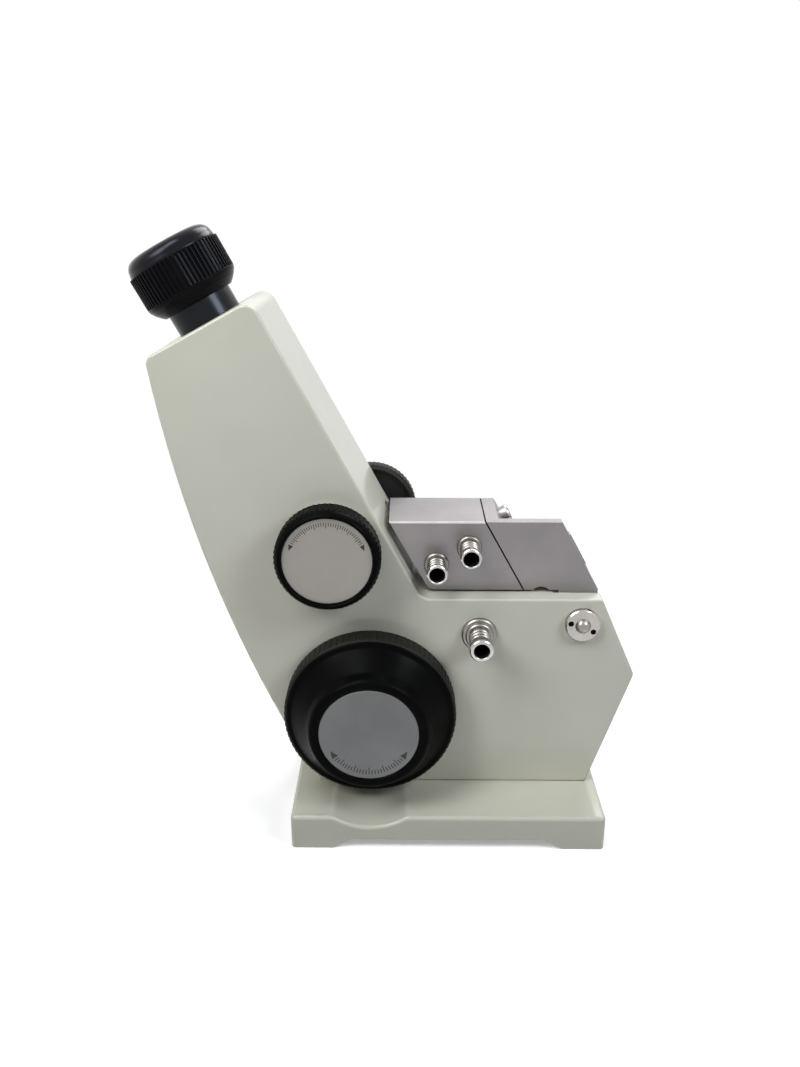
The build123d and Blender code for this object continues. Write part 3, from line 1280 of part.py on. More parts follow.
with BuildPart() as condenser_mirror:
    with BuildSketch(flap_section) as flap_glass:
        with BuildLine():
            Polyline(flap_spot(3.0, -0.4), flap_spot(flap_length - 1, -0.4),
                     flap_spot(flap_length - 1, -1.2), flap_spot(3.0, -1.2), close=True)
        make_face()
    extrude(flap_glass.sketch, amount=flap_half - 1, both=True)
condenser_mirror.part.label = "condenser_mirror"
export_step(condenser_mirror.part, "parts/condenser_mirror.step")

# ---------------------------------------------------------------- calibration screw
with BuildPart() as calibration_screw:
    screw_at = (bow_at(calibration_z), 0, calibration_z)
    turn_about(screw_at, bow_normal, (0, 1, 0), [
        (0, -3.4), (calibration_r - running, -3.4), (calibration_r - running, -0.9),
        (0, -0.9),
    ])
    slot_at = Plane(origin=Vector(*screw_at) + Vector(*bow_normal) * -0.9, x_dir=(0, 1, 0),
                    z_dir=bow_normal)
    screw_head_slot(slot_at, 5, 0.7, 0.8)
calibration_screw.part.label = "calibration_screw"
export_step(calibration_screw.part, "parts/calibration_screw.step")
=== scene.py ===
# %% [markdown]
# # A bench refractometer, dressed around its working model
#
# The instrument is a leaning cast column on an arched foot, with an eyepiece on top, a
# hinged prism box with hose nozzles, and knurled handwheels. The working model gives every
# solid in metres, with +Z up and the handwheels facing -Y. This script never moves it. It
# adds finishes, and where a turned or moulded piece needs finer curves or grooves, a new
# surface that rides on the same body.

# %% Load the working model
import json
import bmesh
import bpy
import numpy as np
from mathutils import Matrix, Vector

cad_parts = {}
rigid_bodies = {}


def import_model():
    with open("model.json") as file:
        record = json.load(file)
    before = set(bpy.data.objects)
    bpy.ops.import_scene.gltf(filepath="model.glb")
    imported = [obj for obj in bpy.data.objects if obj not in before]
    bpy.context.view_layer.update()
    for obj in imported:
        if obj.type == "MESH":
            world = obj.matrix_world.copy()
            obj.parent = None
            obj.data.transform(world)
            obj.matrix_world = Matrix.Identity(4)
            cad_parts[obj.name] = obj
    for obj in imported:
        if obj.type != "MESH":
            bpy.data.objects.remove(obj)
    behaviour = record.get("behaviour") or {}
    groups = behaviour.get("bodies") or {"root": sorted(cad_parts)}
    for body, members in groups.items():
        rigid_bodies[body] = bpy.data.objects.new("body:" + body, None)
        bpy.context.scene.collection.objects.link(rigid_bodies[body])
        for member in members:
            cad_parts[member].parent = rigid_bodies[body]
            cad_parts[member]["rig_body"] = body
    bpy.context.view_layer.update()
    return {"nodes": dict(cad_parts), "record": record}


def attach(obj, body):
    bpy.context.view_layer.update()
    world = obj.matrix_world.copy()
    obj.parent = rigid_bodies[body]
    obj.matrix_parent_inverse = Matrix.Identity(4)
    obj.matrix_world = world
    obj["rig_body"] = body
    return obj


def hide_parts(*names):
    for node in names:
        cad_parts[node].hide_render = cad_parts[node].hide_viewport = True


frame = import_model()

# %% [markdown]
# ## Places taken from the working model
#
# A new surface has to sit exactly on its solid. So the few axes that everything hangs on are
# written once, in metres. The column leans by tilt to the user's side, the prism box slants
# by box_slant, and the telescope's axis crosses the dispersion handwheel's axis.

# %% Axes and directions
mm = 0.001
base_x = 23.15 * mm
tilt = np.radians(28.2)
box_slant = np.radians(29.2)
right = np.array([1.0, 0.0, 0.0])
far = np.array([0.0, 1.0, 0.0])
near = -far
up_axis = np.array([-np.sin(tilt), 0.0, np.cos(tilt)])
disperse_at = np.array([base_x - 47.24 * mm, 0.0, 119.98 * mm])
adjust_at = np.array([base_x - 31.66 * mm, 0.0, 51.54 * mm])
lock_at = np.array([base_x - 32.5 * mm, 0.0, 120.0 * mm])
hinge_at = np.array([base_x + 53.2 * mm, 0.0, 88.85 * mm])
print("telescope leans", round(float(np.degrees(tilt)), 1), "degrees")

# %% [markdown]
# ## The camera
#
# The photograph was taken from the near side, a little above the instrument. Its viewpoint
# was worked out from edges of known size, so the render can be laid over the photograph.

# %% Camera at the photograph's viewpoint
view_point = Vector((base_x - 17.11 * mm, -371.58 * mm, 253.80 * mm))
view_yaw, view_pitch, view_roll = np.radians([-0.428, 20.055, 0.073])
focal_pixels, long_side_pixels, sensor = 955.63, 1067.0, 36.0

ahead = Vector((np.sin(view_yaw) * np.cos(view_pitch), np.cos(view_yaw) * np.cos(view_pitch),
                -np.sin(view_pitch)))
level = Vector((np.cos(view_yaw), -np.sin(view_yaw), 0.0))
rolled = level * np.cos(view_roll) + level.cross(ahead) * np.sin(view_roll)
upward = rolled.cross(ahead)
camera_data = bpy.data.cameras.new("view")
camera_data.sensor_width = sensor
camera_data.lens = focal_pixels * sensor / long_side_pixels
camera = bpy.data.objects.new("view", camera_data)
camera.matrix_world = Matrix((
    (rolled.x, upward.x, -ahead.x, view_point.x), (rolled.y, upward.y, -ahead.y, view_point.y),
    (rolled.z, upward.z, -ahead.z, view_point.z), (0, 0, 0, 1),
))
bpy.context.scene.collection.objects.link(camera)
bpy.context.scene.camera = camera
bpy.context.scene.view_settings.view_transform = "Standard"
print("lens", round(camera_data.lens, 2), "mm")

# %% [markdown]
# ## Node helpers for finishes
#
# Each finish is a small network that reads Object coordinates, so its grain has a real size
# in metres and stays put on the piece. A value that is the same all over is set on the
# shader's own socket.

# %% A finish starts with one shader and its coordinates
def new_finish(name, **values):
    """A material with one Principled shader; values are its sockets that stay the same."""
    finish = bpy.data.materials.new(name)
    finish.use_nodes = True
    shader = finish.node_tree.nodes["Principled BSDF"]
    for socket, value in values.items():
        shader.inputs[socket.replace("_", " ")].default_value = value
    print("finish", name)
    return finish, finish.node_tree.nodes, finish.node_tree.links, shader


def object_grain(nodes, links, scale, detail=4.0, stretch=(1, 1, 1)):
    """Noise of so many waves per metre, squeezed by stretch. Gives its value from 0 to 1."""
    place = nodes.new("ShaderNodeTexCoord")
    squeeze = nodes.new("ShaderNodeMapping")
    squeeze.inputs["Scale"].default_value = stretch
    links.new(place.outputs["Object"], squeeze.inputs["Vector"])
    noise = nodes.new("ShaderNodeTexNoise")
    noise.inputs["Scale"].default_value = scale
    noise.inputs["Detail"].default_value = detail
    noise.inputs["Roughness"].default_value = 0.55
    links.new(squeeze.outputs["Vector"], noise.inputs["Vector"])
    return noise.outputs["Fac"]


def spread(nodes, links, value, low, high, from_low=0.3, from_high=0.7):
    """Carries a value from its own range, which for noise is about 0.3 to 0.7, to low to high."""
    band = nodes.new("ShaderNodeMapRange")
    for socket, number in (("From Min", from_low), ("From Max", from_high),
                           ("To Min", low), ("To Max", high)):
        band.inputs[socket].default_value = number
    links.new(value, band.inputs["Value"])
    return band.outputs["Result"]


def two_tones(nodes, links, value, dark, light):
    """A colour between dark and light, by a noise value, which seldom leaves 0.32 to 0.68."""
    ramp = nodes.new("ShaderNodeValToRGB")
    for element, tone, place in zip(ramp.color_ramp.elements, (dark, light), (0.32, 0.68)):
        element.color = (*tone, 1)
        element.position = place
    links.new(value, ramp.inputs["Fac"])
    return ramp.outputs["Color"]


def relief(nodes, links, shader, value, depth, strength):
    """Raises the surface by up to depth metres where the value is 1."""
    bump = nodes.new("ShaderNodeBump")
    bump.inputs["Distance"].default_value = depth
    bump.inputs["Strength"].default_value = strength
    links.new(value, bump.inputs["Height"])
    links.new(bump.outputs["Normal"], shader.inputs["Normal"])


# %% [markdown]
# ## The enamel
#
# The castings are sprayed with a warm grey enamel that dries with a faint orange peel. It
# could be one plain grey. But then a large casting looks like a drawing, so a slow cloud
# moves the tone, and a fine noise moves both shine and relief. The foot's copy is darker,
# as painted shade.

# %% Casting enamel
def casting_enamel(name, dark, light):
    """Sprayed enamel: cloudy tone, and orange peel of about 1.5 mm in shine and relief."""
    finish, nodes, links, shader = new_finish(name, Specular_IOR_Level=0.40, Coat_Weight=0.5,
                                              Coat_Roughness=0.09)
    cloud = object_grain(nodes, links, 22.0, 3.0)
    links.new(two_tones(nodes, links, cloud, dark, light), shader.inputs["Base Color"])
    peel = object_grain(nodes, links, 650.0, 3.0)
    links.new(spread(nodes, links, peel, 0.36, 0.46), shader.inputs["Roughness"])
    relief(nodes, links, shader, peel, 0.06 * mm, 0.5)
    return finish


enamel = casting_enamel("casting_enamel", (0.575, 0.568, 0.478), (0.615, 0.607, 0.515))
# The foot's enamel is the column's made darker: painted shade.
base_painted_shade_enamel = casting_enamel("base_painted_shade_enamel", (0.520, 0.518, 0.430), (0.560, 0.557, 0.465))

# %% [markdown]
# ## The blacks
#
# Handwheels, eyepiece and inner tubes are black plastic or lacquer. One black for all would
# flatten them into one shape. So each has its own tone, roughness, reflection level and
# tint, over the mould's fine grain and slow patches where hands have polished it.

# %% Moulded and lacquered blacks
def moulded_black(name, tone, roughness, level, tint=(1, 1, 1)):
    """Black plastic that reflects by level, with a mould grain, and slow patches of polish."""
    finish, nodes, links, shader = new_finish(name, Specular_IOR_Level=level,
                                              Specular_Tint=(*tint, 1))
    patch = object_grain(nodes, links, 60.0, 3.0)
    polished = tuple(1.6 * c for c in tone)
    links.new(two_tones(nodes, links, patch, tone, polished), shader.inputs["Base Color"])
    grain = object_grain(nodes, links, 2600.0, 2.0)
    links.new(spread(nodes, links, patch, roughness - 0.05, roughness + 0.07),
              shader.inputs["Roughness"])
    relief(nodes, links, shader, grain, 0.02 * mm, 0.35)
    return finish


wheel_black = moulded_black("wheel_black", (0.0018, 0.0021, 0.0018), 0.30, 0.022)
lock_black = moulded_black("lock_black", (0.017, 0.017, 0.016), 0.46, 0.18)
grip_black = moulded_black("grip_black", (0.0020, 0.0020, 0.0024), 0.24, 0.075, (0.84, 0.84, 1.0))
cup_black = moulded_black("cup_black", (0.0030, 0.0030, 0.0036), 0.23, 0.19, (0.82, 0.84, 1.0))
barrel_black = moulded_black("barrel_black", (0.0020, 0.0021, 0.0022), 0.24, 0.26, (0.78, 0.86, 1.0))
inner_black = moulded_black("inner_black", (0.010, 0.010, 0.010), 0.62, 0.12)
# Lighter than the wheels' black: painted light on the grooved rims.
rim_painted_light = moulded_black("rim_painted_light", (0.010, 0.010, 0.008), 0.50, 0.12, (1.0, 0.98, 0.90))
# Near black for hollows: painted shade in pits, the joint groove and the rim hole, and partly scale
# in the nozzle bores.
scale_and_painted_shade_black = moulded_black("scale_and_painted_shade_black", (0.006, 0.006, 0.007), 0.75, 0.05)

# %% [markdown]
# ## The metals
#
# The prism box is machined metal with a plum-grey oxide, the nozzles are nickel plated, and
# pins and screws are bare. Tool marks could be cut into the mesh, but they are finer than its
# faces. So a stretched noise moves the roughness and a relief of a hundredth of a millimetre.

# %% Metals
def metal(name, tone, light, roughness, spread_by, scale, stretch=(1, 1, 1), depth=0.012 * mm,
          metallic=1.0):
    """Bare metal: tool marks stretched along the cut, and a tone that drifts slowly."""
    finish, nodes, links, shader = new_finish(name, Metallic=metallic)
    drift = object_grain(nodes, links, 40.0, 3.0)
    links.new(two_tones(nodes, links, drift, tone, light), shader.inputs["Base Color"])
    marks = object_grain(nodes, links, scale, 4.0, stretch)
    links.new(spread(nodes, links, marks, roughness - spread_by, roughness + spread_by),
              shader.inputs["Roughness"])
    relief(nodes, links, shader, marks, depth, 0.4)
    return finish


plum_metal = metal("plum_metal", (0.235, 0.220, 0.224), (0.285, 0.262, 0.262), 0.38, 0.06, 900.0,
                   (0.12, 1, 1), metallic=0.75)
seat_metal = metal("seat_metal", (0.40, 0.38, 0.37), (0.46, 0.44, 0.43), 0.36, 0.06, 900.0,
                   (0.15, 1, 1), metallic=0.85)
nickel = metal("nickel_plate", (0.44, 0.43, 0.41), (0.56, 0.55, 0.53), 0.15, 0.05, 300.0)
dull_nickel = metal("dull_nickel", (0.21, 0.20, 0.18), (0.30, 0.285, 0.26), 0.33, 0.07, 500.0)
steel = metal("turned_steel", (0.42, 0.42, 0.42), (0.52, 0.52, 0.52), 0.16, 0.05, 1500.0)
zinc = metal("zinc_screws", (0.42, 0.42, 0.42), (0.52, 0.52, 0.51), 0.34, 0.08, 900.0)
brass = metal("brass", (0.60, 0.44, 0.20), (0.68, 0.50, 0.25), 0.28, 0.07, 1200.0)
film_silver = metal("film_silver", (0.40, 0.39, 0.375), (0.43, 0.42, 0.405), 0.52, 0.05, 2500.0,
                    metallic=0.6)
disc_satin = metal("disc_satin", (0.34, 0.32, 0.305), (0.44, 0.415, 0.39), 0.28, 0.06, 700.0)
# A paler copy of the box's metal: a painted highlight on its long top edges.
edge_painted_highlight = metal("edge_painted_highlight", (0.44, 0.425, 0.42), (0.52, 0.505, 0.50), 0.36, 0.06, 900.0,
                  metallic=0.75)

# %% [markdown]
# ## Ink on the silver discs
#
# A satin film on aluminium, printed in black, sits in the face of two wheels. The print
# could be thin raised shapes, but ink has no height. So it is worked out in the finish, from
# each point's angle and distance from the disc's middle, and stays sharp from any distance.

# %% Sums and angles in nodes
def calc(nodes, links, operation, *values):
    """One Math node: numbers go on its sockets, and other nodes' values are linked."""
    step = nodes.new("ShaderNodeMath")
    step.operation = operation
    for socket, value in zip(step.inputs, values):
        if isinstance(value, (int, float)):
            socket.default_value = value
        else:
            links.new(value, socket)
    return step.outputs["Value"]


def polar_place(nodes, links, middle):
    """Each point's distance from middle in the XZ plane, and its angle from X towards Z."""
    place = nodes.new("ShaderNodeTexCoord")
    centred = nodes.new("ShaderNodeMapping")
    centred.inputs["Location"].default_value = (-middle[0], 0, -middle[2])
    centred.inputs["Scale"].default_value = (1, 0, 1)
    links.new(place.outputs["Object"], centred.inputs["Vector"])
    parts = nodes.new("ShaderNodeSeparateXYZ")
    links.new(centred.outputs["Vector"], parts.inputs["Vector"])
    length = nodes.new("ShaderNodeVectorMath")
    length.operation = "LENGTH"
    links.new(centred.outputs["Vector"], length.inputs[0])
    angle = calc(nodes, links, "ARCTAN2", parts.outputs["Z"], parts.outputs["X"])
    return length.outputs["Value"], angle


# %% Ticks and arrow heads
def turn_marks(nodes, links, middle, start, end, ticks, inner, outer, thick):
    """1 where there is ink: ticks along an arc, every fifth longer, and an arrow head past each end.

    With r and a the distance and angle from middle in X and Z, and t from 0 to 1 over the arc,
    a tick is ink where fract(t * ticks) is near a half and r lies between inner and outer. A
    head starts a small gap past its end of the arc, and narrows with the arc length.
    """
    def step(operation, *values):
        return calc(nodes, links, operation, *values)

    def near_half(value, half_width):
        off = step("SUBTRACT", step("FRACT", value), 0.5)
        return step("LESS_THAN", step("ABSOLUTE", off), half_width)

    radius, angle = polar_place(nodes, links, middle)
    span, middle_r = end - start, (inner + outer) / 2
    along = step("DIVIDE", step("SUBTRACT", angle, start), span)
    tick = near_half(step("MULTIPLY", along, float(ticks)),
                     float(thick * ticks / (2 * span * middle_r)))
    longer_by, fifth_half = (outer - inner) * 0.55, 0.1
    fifth = near_half(step("MULTIPLY", along, ticks / 5), fifth_half)
    lowest = step("SUBTRACT", inner, step("MULTIPLY", fifth, longer_by))
    on_band = step("MULTIPLY", step("GREATER_THAN", radius, lowest), step("LESS_THAN", radius, outer))
    past = step("SUBTRACT", step("ABSOLUTE", step("SUBTRACT", along, 0.5)), 0.5)
    ink = step("MULTIPLY", step("MULTIPLY", tick, on_band), step("LESS_THAN", past, 0.0))

    head_gap, head_length, half_slope = 0.4 * mm, (outer - inner) * 1.7, 0.42
    past_length = step("MULTIPLY", past, float(span * middle_r))
    half_width = step("MULTIPLY", step("SUBTRACT", head_length + head_gap, past_length), half_slope)
    off_middle = step("ABSOLUTE", step("SUBTRACT", radius, middle_r))
    arrow = step("MULTIPLY", step("LESS_THAN", off_middle, half_width),
                 step("GREATER_THAN", past_length, head_gap))
    return step("MAXIMUM", ink, arrow)


# %% Printed films
ink_black = (0.035, 0.035, 0.035, 1)


def printed_film(name, tone, light, marks):
    """Silver film with its grain, and near-black ink where the marks are."""
    finish = metal(name, tone, light, 0.50, 0.06, 2500.0, metallic=0.6)
    nodes, links = finish.node_tree.nodes, finish.node_tree.links
    shader = nodes["Principled BSDF"]
    film_colour = shader.inputs["Base Color"].links[0].from_socket
    mix = nodes.new("ShaderNodeMix")
    mix.data_type = "RGBA"
    links.new(turn_marks(nodes, links, *marks), mix.inputs["Factor"])
    links.new(film_colour, mix.inputs["A"])
    mix.inputs["B"].default_value = ink_black
    links.new(mix.outputs["Result"], shader.inputs["Base Color"])
    return finish


adjust_film = printed_film("adjustment_film", (0.145, 0.145, 0.145), (0.175, 0.175, 0.175), (
    adjust_at, np.radians(-142.0), np.radians(-38.0), 25, 15.6 * mm, 17.6 * mm, 0.42 * mm))
disperse_film = printed_film("dispersion_film", (0.320, 0.302, 0.276), (0.345, 0.326, 0.298), (
    disperse_at, np.radians(28.0), np.radians(152.0), 35, 14.2 * mm, 15.6 * mm, 0.30 * mm))

# %% [markdown]
# ## Glass and mirrors
#
# Most lenses, prisms and mirrors are hidden until the prism box opens. Glass is one clear
# shader with the faintest dust in its shine. A mirror could be glass over silver, but a very
# smooth bright metal looks the same and needs one surface, so that is what it is here.

# %% Glass and mirrors
def clear_glass(name, tint):
    """Polished glass: clear, with the faintest dust to break its shine."""
    finish, nodes, links, shader = new_finish(name, Transmission_Weight=1.0, IOR=1.52,
                                              Base_Color=(*tint, 1))
    dust = object_grain(nodes, links, 400.0)
    links.new(spread(nodes, links, dust, 0.0, 0.05), shader.inputs["Roughness"])
    return finish


lens_glass = clear_glass("lens_glass", (0.93, 0.95, 0.97))
mirror_silver = metal("mirror_silver", (0.86, 0.87, 0.88), (0.90, 0.91, 0.92), 0.035, 0.02, 60.0,
                      depth=0.001 * mm)

# %% [markdown]
# ## Finishing the solids that are already right
#
# A machined part never has a razor edge. A solid whose form is right is copied, its loose
# triangles are merged, its flat faces are joined again, and a narrow bevel breaks the edges.
# The copy stands for the node and rides on the node's body.

# %% A broken-edged copy of a solid
slot_of = {entry["node"]: entry["material_slot"] for entry in frame["record"]["subparts"]}
long_edge = 2.0 * mm
same_point = 1e-6
flat_turn, sharp_turn = 0.4, 30.0


def finish_piece(piece, finish, body, node, sharp):
    """Smooth shading with true flats, one finish, and the body it rides on. sharp is in degrees."""
    mesh = piece.data
    mesh.materials.clear()
    mesh.materials.append(finish)
    mesh.polygons.foreach_set("use_smooth", np.ones(len(mesh.polygons), bool))
    mesh.set_sharp_from_angle(angle=np.radians(sharp))
    flats = piece.modifiers.new("true_flats", "WEIGHTED_NORMAL")
    flats.keep_sharp = True
    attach(piece, body)
    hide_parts(node)


def broken_edges(node, finish, width):
    """A copy of a node whose long edges are broken by width metres; holes keep crisp rims."""
    source = frame["nodes"][node]
    mesh = source.data.copy()
    piece = bpy.data.objects.new(node + "_finished", mesh)
    bpy.context.scene.collection.objects.link(piece)
    shape = bmesh.new()
    shape.from_mesh(mesh)
    bmesh.ops.remove_doubles(shape, verts=shape.verts, dist=same_point)
    bmesh.ops.dissolve_limit(shape, verts=shape.verts, edges=shape.edges,
                             angle_limit=np.radians(flat_turn))
    weight = shape.edges.layers.float.new("bevel_weight_edge")
    for edge in shape.edges:
        if edge.calc_length() > long_edge and edge.calc_face_angle(0.0) > np.radians(sharp_turn):
            edge[weight] = 1.0
    shape.to_mesh(mesh)
    shape.free()
    if width:
        bevel = piece.modifiers.new("broken_edges", "BEVEL")
        bevel.width = width
        bevel.segments = 2
        bevel.limit_method = "WEIGHT"
        bevel.harden_normals = False
        bevel.use_clamp_overlap = True
    finish_piece(piece, finish, source["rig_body"], node, sharp_turn)


# %% [markdown]
# ### Which solid gets which finish
#
# The castings, the prism box and the small turned parts keep their solids' form. The table
# gives each one its finish and the width of its broken edges. That is nought where the solid
# has its rounded edges already, or is too small or hidden for them to count.

# %% Copies of the machined solids
finished_solids = {
    "housing": (enamel, 0.0), "cover_plate": (enamel, 0.0), "base": (base_painted_shade_enamel, 0.0),
    "upper_prism_seat": (plum_metal, 0.25 * mm), "light_hood": (plum_metal, 0.25 * mm),
    "refraction_prism_seat": (seat_metal, 0.2 * mm), "hinge_discs": (disc_satin, 0.15 * mm),
    "hinge_shaft": (dull_nickel, 0.0), "thermometer_seat": (seat_metal, 0.1 * mm),
    "shading_plate": (seat_metal, 0.1 * mm), "mirror_frame": (seat_metal, 0.15 * mm),
    # The hinge screws get the near-black finish: painted shade for the dark pits they sit in.
    "cover_screws": (zinc, 0.0), "hinge_screws": (scale_and_painted_shade_black, 0.0), "base_screws": (zinc, 0.0),
    "scale_window": (inner_black, 0.1 * mm), "condenser_flap": (inner_black, 0.1 * mm),
    "lock_bush": (inner_black, 0.0), "dispersion_scale_ring": (film_silver, 0.0),
    "eyepiece_cell": (inner_black, 0.0),
}
for node, (finish, width) in finished_solids.items():
    broken_edges(node, finish, width)
print(len(finished_solids), "solids finished")

# %% [markdown]
# ## Turned pieces as surfaces of two parameters
#
# A handwheel, a nozzle or an eyepiece ring is turned: one outline carried round an axis. On a
# grid, the first parameter runs along the outline and the second is the angle. Moulded knurls
# are the same surface with a radius that also depends on the angle. This gives round edges and
# real grooves with few faces, which a bevel on loose triangles can't.

# %% Outlines with rounded corners
def soften(outline, cut, steps=4):
    """Rounds the corners of an outline of (radius, height) points.

    Each inner corner P becomes the curve (1-t)^2 A + 2t(1-t) P + t^2 B, where A and B lie on
    its two sides, cut away from P but never past 0.45 of the side.
    """
    points = np.asarray(outline, float)
    before, corner, after = points[:-2], points[1:-1], points[2:]

    def toward(other):
        side = other - corner
        length = np.linalg.norm(side, axis=1, keepdims=True)
        return (corner + side / length * np.minimum(cut, 0.45 * length))[:, None]

    t = np.linspace(0, 1, steps)[None, :, None]
    curve = (1 - t) ** 2 * toward(before) + 2 * t * (1 - t) * corner[:, None]
    curve = curve + t ** 2 * toward(after)
    return np.vstack([points[:1], curve.reshape(-1, 2), points[-1:]])


def soften_ring(outline, cut, steps=4):
    """The same for a closed outline, whose last point is joined to its first."""
    points = np.asarray(outline, float)
    return soften(np.vstack([points[-1:], points, points[:1]]), cut, steps)[1:-1]


# %% An outline carried round an axis
def even_angles(columns):
    """So many angles round the full turn."""
    return np.arange(columns) * (2 * np.pi / columns)


def turned(outline, foot, axis, sideways, angles, radius_at=None):
    """A surface of revolution as (points, faces).

    point(row, column) = foot + height * axis + radius * (cos a * sideways + sin a * third),
    where radius and height come from the outline's row and a is the column's angle. radius_at
    changes the radius by row and angle. An outline that starts and ends on the axis closes
    with a fan of triangles at each pole, and any other one is a closed ring. It goes up the
    outside, so that the faces point outwards.
    """
    outline = np.asarray(outline, float)
    third = np.cross(axis, sideways)
    pole = outline[0, 0] == 0.0
    rows = outline[1:-1] if pole else outline
    radius = np.repeat(rows[:, :1], len(angles), axis=1)
    height = np.repeat(rows[:, 1:], len(angles), axis=1)
    if radius_at is not None:
        radius = radius_at(radius, height, angles[None, :])
    spoke = np.cos(angles)[:, None] * sideways + np.sin(angles)[:, None] * third
    grid = foot + height[..., None] * axis + radius[..., None] * spoke
    count, columns = radius.shape
    index = np.arange(count * columns).reshape(count, columns)
    after = np.roll(index, -1, axis=1)
    low, high = (index[:-1], index[1:]) if pole else (index, np.roll(index, -1, axis=0))
    low_after, high_after = (after[:-1], after[1:]) if pole else (after, np.roll(after, -1, axis=0))
    quads = np.stack([low, low_after, high_after, high], axis=-1).reshape(-1, 4)
    points = grid.reshape(-1, 3)
    if not pole:
        return points, [quads]
    ends = foot + outline[[0, -1], 1][:, None] * axis
    start, end = len(points), len(points) + 1
    first = np.stack([np.full(columns, start), after[0], index[0]], axis=-1)
    last = np.stack([np.full(columns, end), index[-1], after[-1]], axis=-1)
    return np.vstack([points, ends]), [quads, first, last]


# %% Surfaces put into a mesh
def surface_piece(name, shells, finish, body, node, sharp=35.0):
    """Puts one or more (points, faces) shells into a mesh, and lets it stand for the node."""
    points, faces, start = [], [], 0
    for shell_points, shell_faces in shells:
        points.append(shell_points)
        faces += [block + start for block in shell_faces]
        start += len(shell_points)
    sizes = np.concatenate([np.full(len(block), block.shape[1]) for block in faces])
    corners = np.concatenate([block.ravel() for block in faces])
    mesh = bpy.data.meshes.new(name)
    mesh.vertices.add(start)
    mesh.vertices.foreach_set("co", np.concatenate(points).astype(np.float32).ravel())
    mesh.loops.add(len(corners))
    mesh.loops.foreach_set("vertex_index", corners.astype(np.int32))
    mesh.polygons.add(len(sizes))
    mesh.polygons.foreach_set("loop_start", (np.cumsum(sizes) - sizes).astype(np.int32))
    mesh.update(calc_edges=True)
    piece = bpy.data.objects.new(name, mesh)
    bpy.context.scene.collection.objects.link(piece)
    finish_piece(piece, finish, body, node, sharp)
    print(name, len(sizes), "faces")


# %% [markdown]
# ## Handwheels
#
# The wheels are moulded in black plastic with a finely grooved rim, and the two on the near
# side have a silver disc let into the face. The grooves could be cut out with cylinders, but
# that leaves ragged faces. So the rim's radius itself follows the rods that would cut them.

# %% Round grooves in a rim
def groove_angles(count, places):
    """Angles round the full turn: for each groove, the given places in its pitch, -0.5 to 0.5."""
    pitch = 2 * np.pi / count
    return (np.arange(count)[:, None] * pitch + np.asarray(places)[None, :] * pitch).ravel()


def round_grooves(count, rim, groove, band, lean=0.35, edge=0.10 * mm, fade=0.35 * mm):
    """A rim's grooves, cut by rods of radius groove that stand at rim + lean * groove.

    Across a groove the radius is c cos d - sqrt(groove^2 - (c sin d)^2), with c the rods'
    circle and d the angle from the groove's middle. A smooth minimum with the plain radius
    rounds the lips over edge, and the cut runs out over fade at both ends of band.
    """
    circle = rim + lean * groove

    def radius_at(radius, height, angle):
        turn = angle * count / (2 * np.pi)
        from_middle = (turn - np.round(turn)) * (2 * np.pi / count)
        inside = np.maximum(groove ** 2 - (circle * np.sin(from_middle)) ** 2, 0.0)
        cut = circle * np.cos(from_middle) - np.sqrt(inside)
        cut = np.where(inside > 0, cut, rim + groove)
        run_out = np.clip(np.minimum(height - band[0], band[1] - height) / fade, 0.0, 1.0)
        cut = np.where(run_out > 0, cut + (rim - cut) * (1 - np.sqrt(run_out)), rim + groove)
        close = np.maximum(edge - np.abs(radius - cut), 0.0) / edge
        return np.minimum(radius, cut) - close ** 2 * edge / 4

    return radius_at


groove_places = (-0.5, -0.36, -0.27, -0.215, -0.16, -0.08, 0.0, 0.08, 0.16, 0.215, 0.27, 0.36)
print("a groove has", len(groove_places), "columns")

# %% [markdown]
# ### The adjustment handwheel
#
# The large wheel rises in a cone to a rounded ring. The outline goes from the hub at the back,
# round the rim and over the face to the disc's seat. Radii and heights are in millimetres
# until the end, and heights are towards the viewer. The cuts say how round each corner is.

# %% Adjustment handwheel
adjust_rim, adjust_grooves = 34.9, 84
adjust_outline = np.array([
    (0, 26.75), (12, 26.75), (12, 31.0), (30, 31.0), (30, 25.75), (34.6, 25.75),
    (adjust_rim, 26.05), (adjust_rim, 27.2), (adjust_rim, 29.8), (adjust_rim, 32.6),
    (adjust_rim, 33.8), (34.3, 34.25), (33.4, 35.05), (31.8, 35.4), (29.6, 37.9),
    (27.2, 40.9), (25.0, 43.8), (24.4, 46.4), (23.6, 47.9), (22.4, 48.6), (20.9, 48.6),
    (19.85, 47.9), (19.85, 47.0), (0, 47.0),
]) * mm
adjust_cuts = np.array([0.3, 0.3, 0.3, 0.4, 0.3, 0.3, 0.3, 0.3, 0.3, 0.3, 0.35, 0.4, 0.5, 0.8,
                        0.8, 0.8, 0.9, 0.9, 0.7, 0.6, 0.5, 0.2])[:, None] * mm
surface_piece(
    "adjustment_handwheel",
    [turned(soften(adjust_outline, adjust_cuts), adjust_at, near, right,
            groove_angles(adjust_grooves, groove_places),
            round_grooves(adjust_grooves, adjust_rim * mm, 0.62 * mm, (25.8 * mm, 34.25 * mm)))],
    wheel_black, "adjustment_drive", "adjustment_knob")

# %% [markdown]
# ### The dispersion handwheel
#
# The small wheel is flatter, with fewer and wider grooves and a low ring round its disc. The
# same functions make it, so both wheels look like one maker's mouldings.

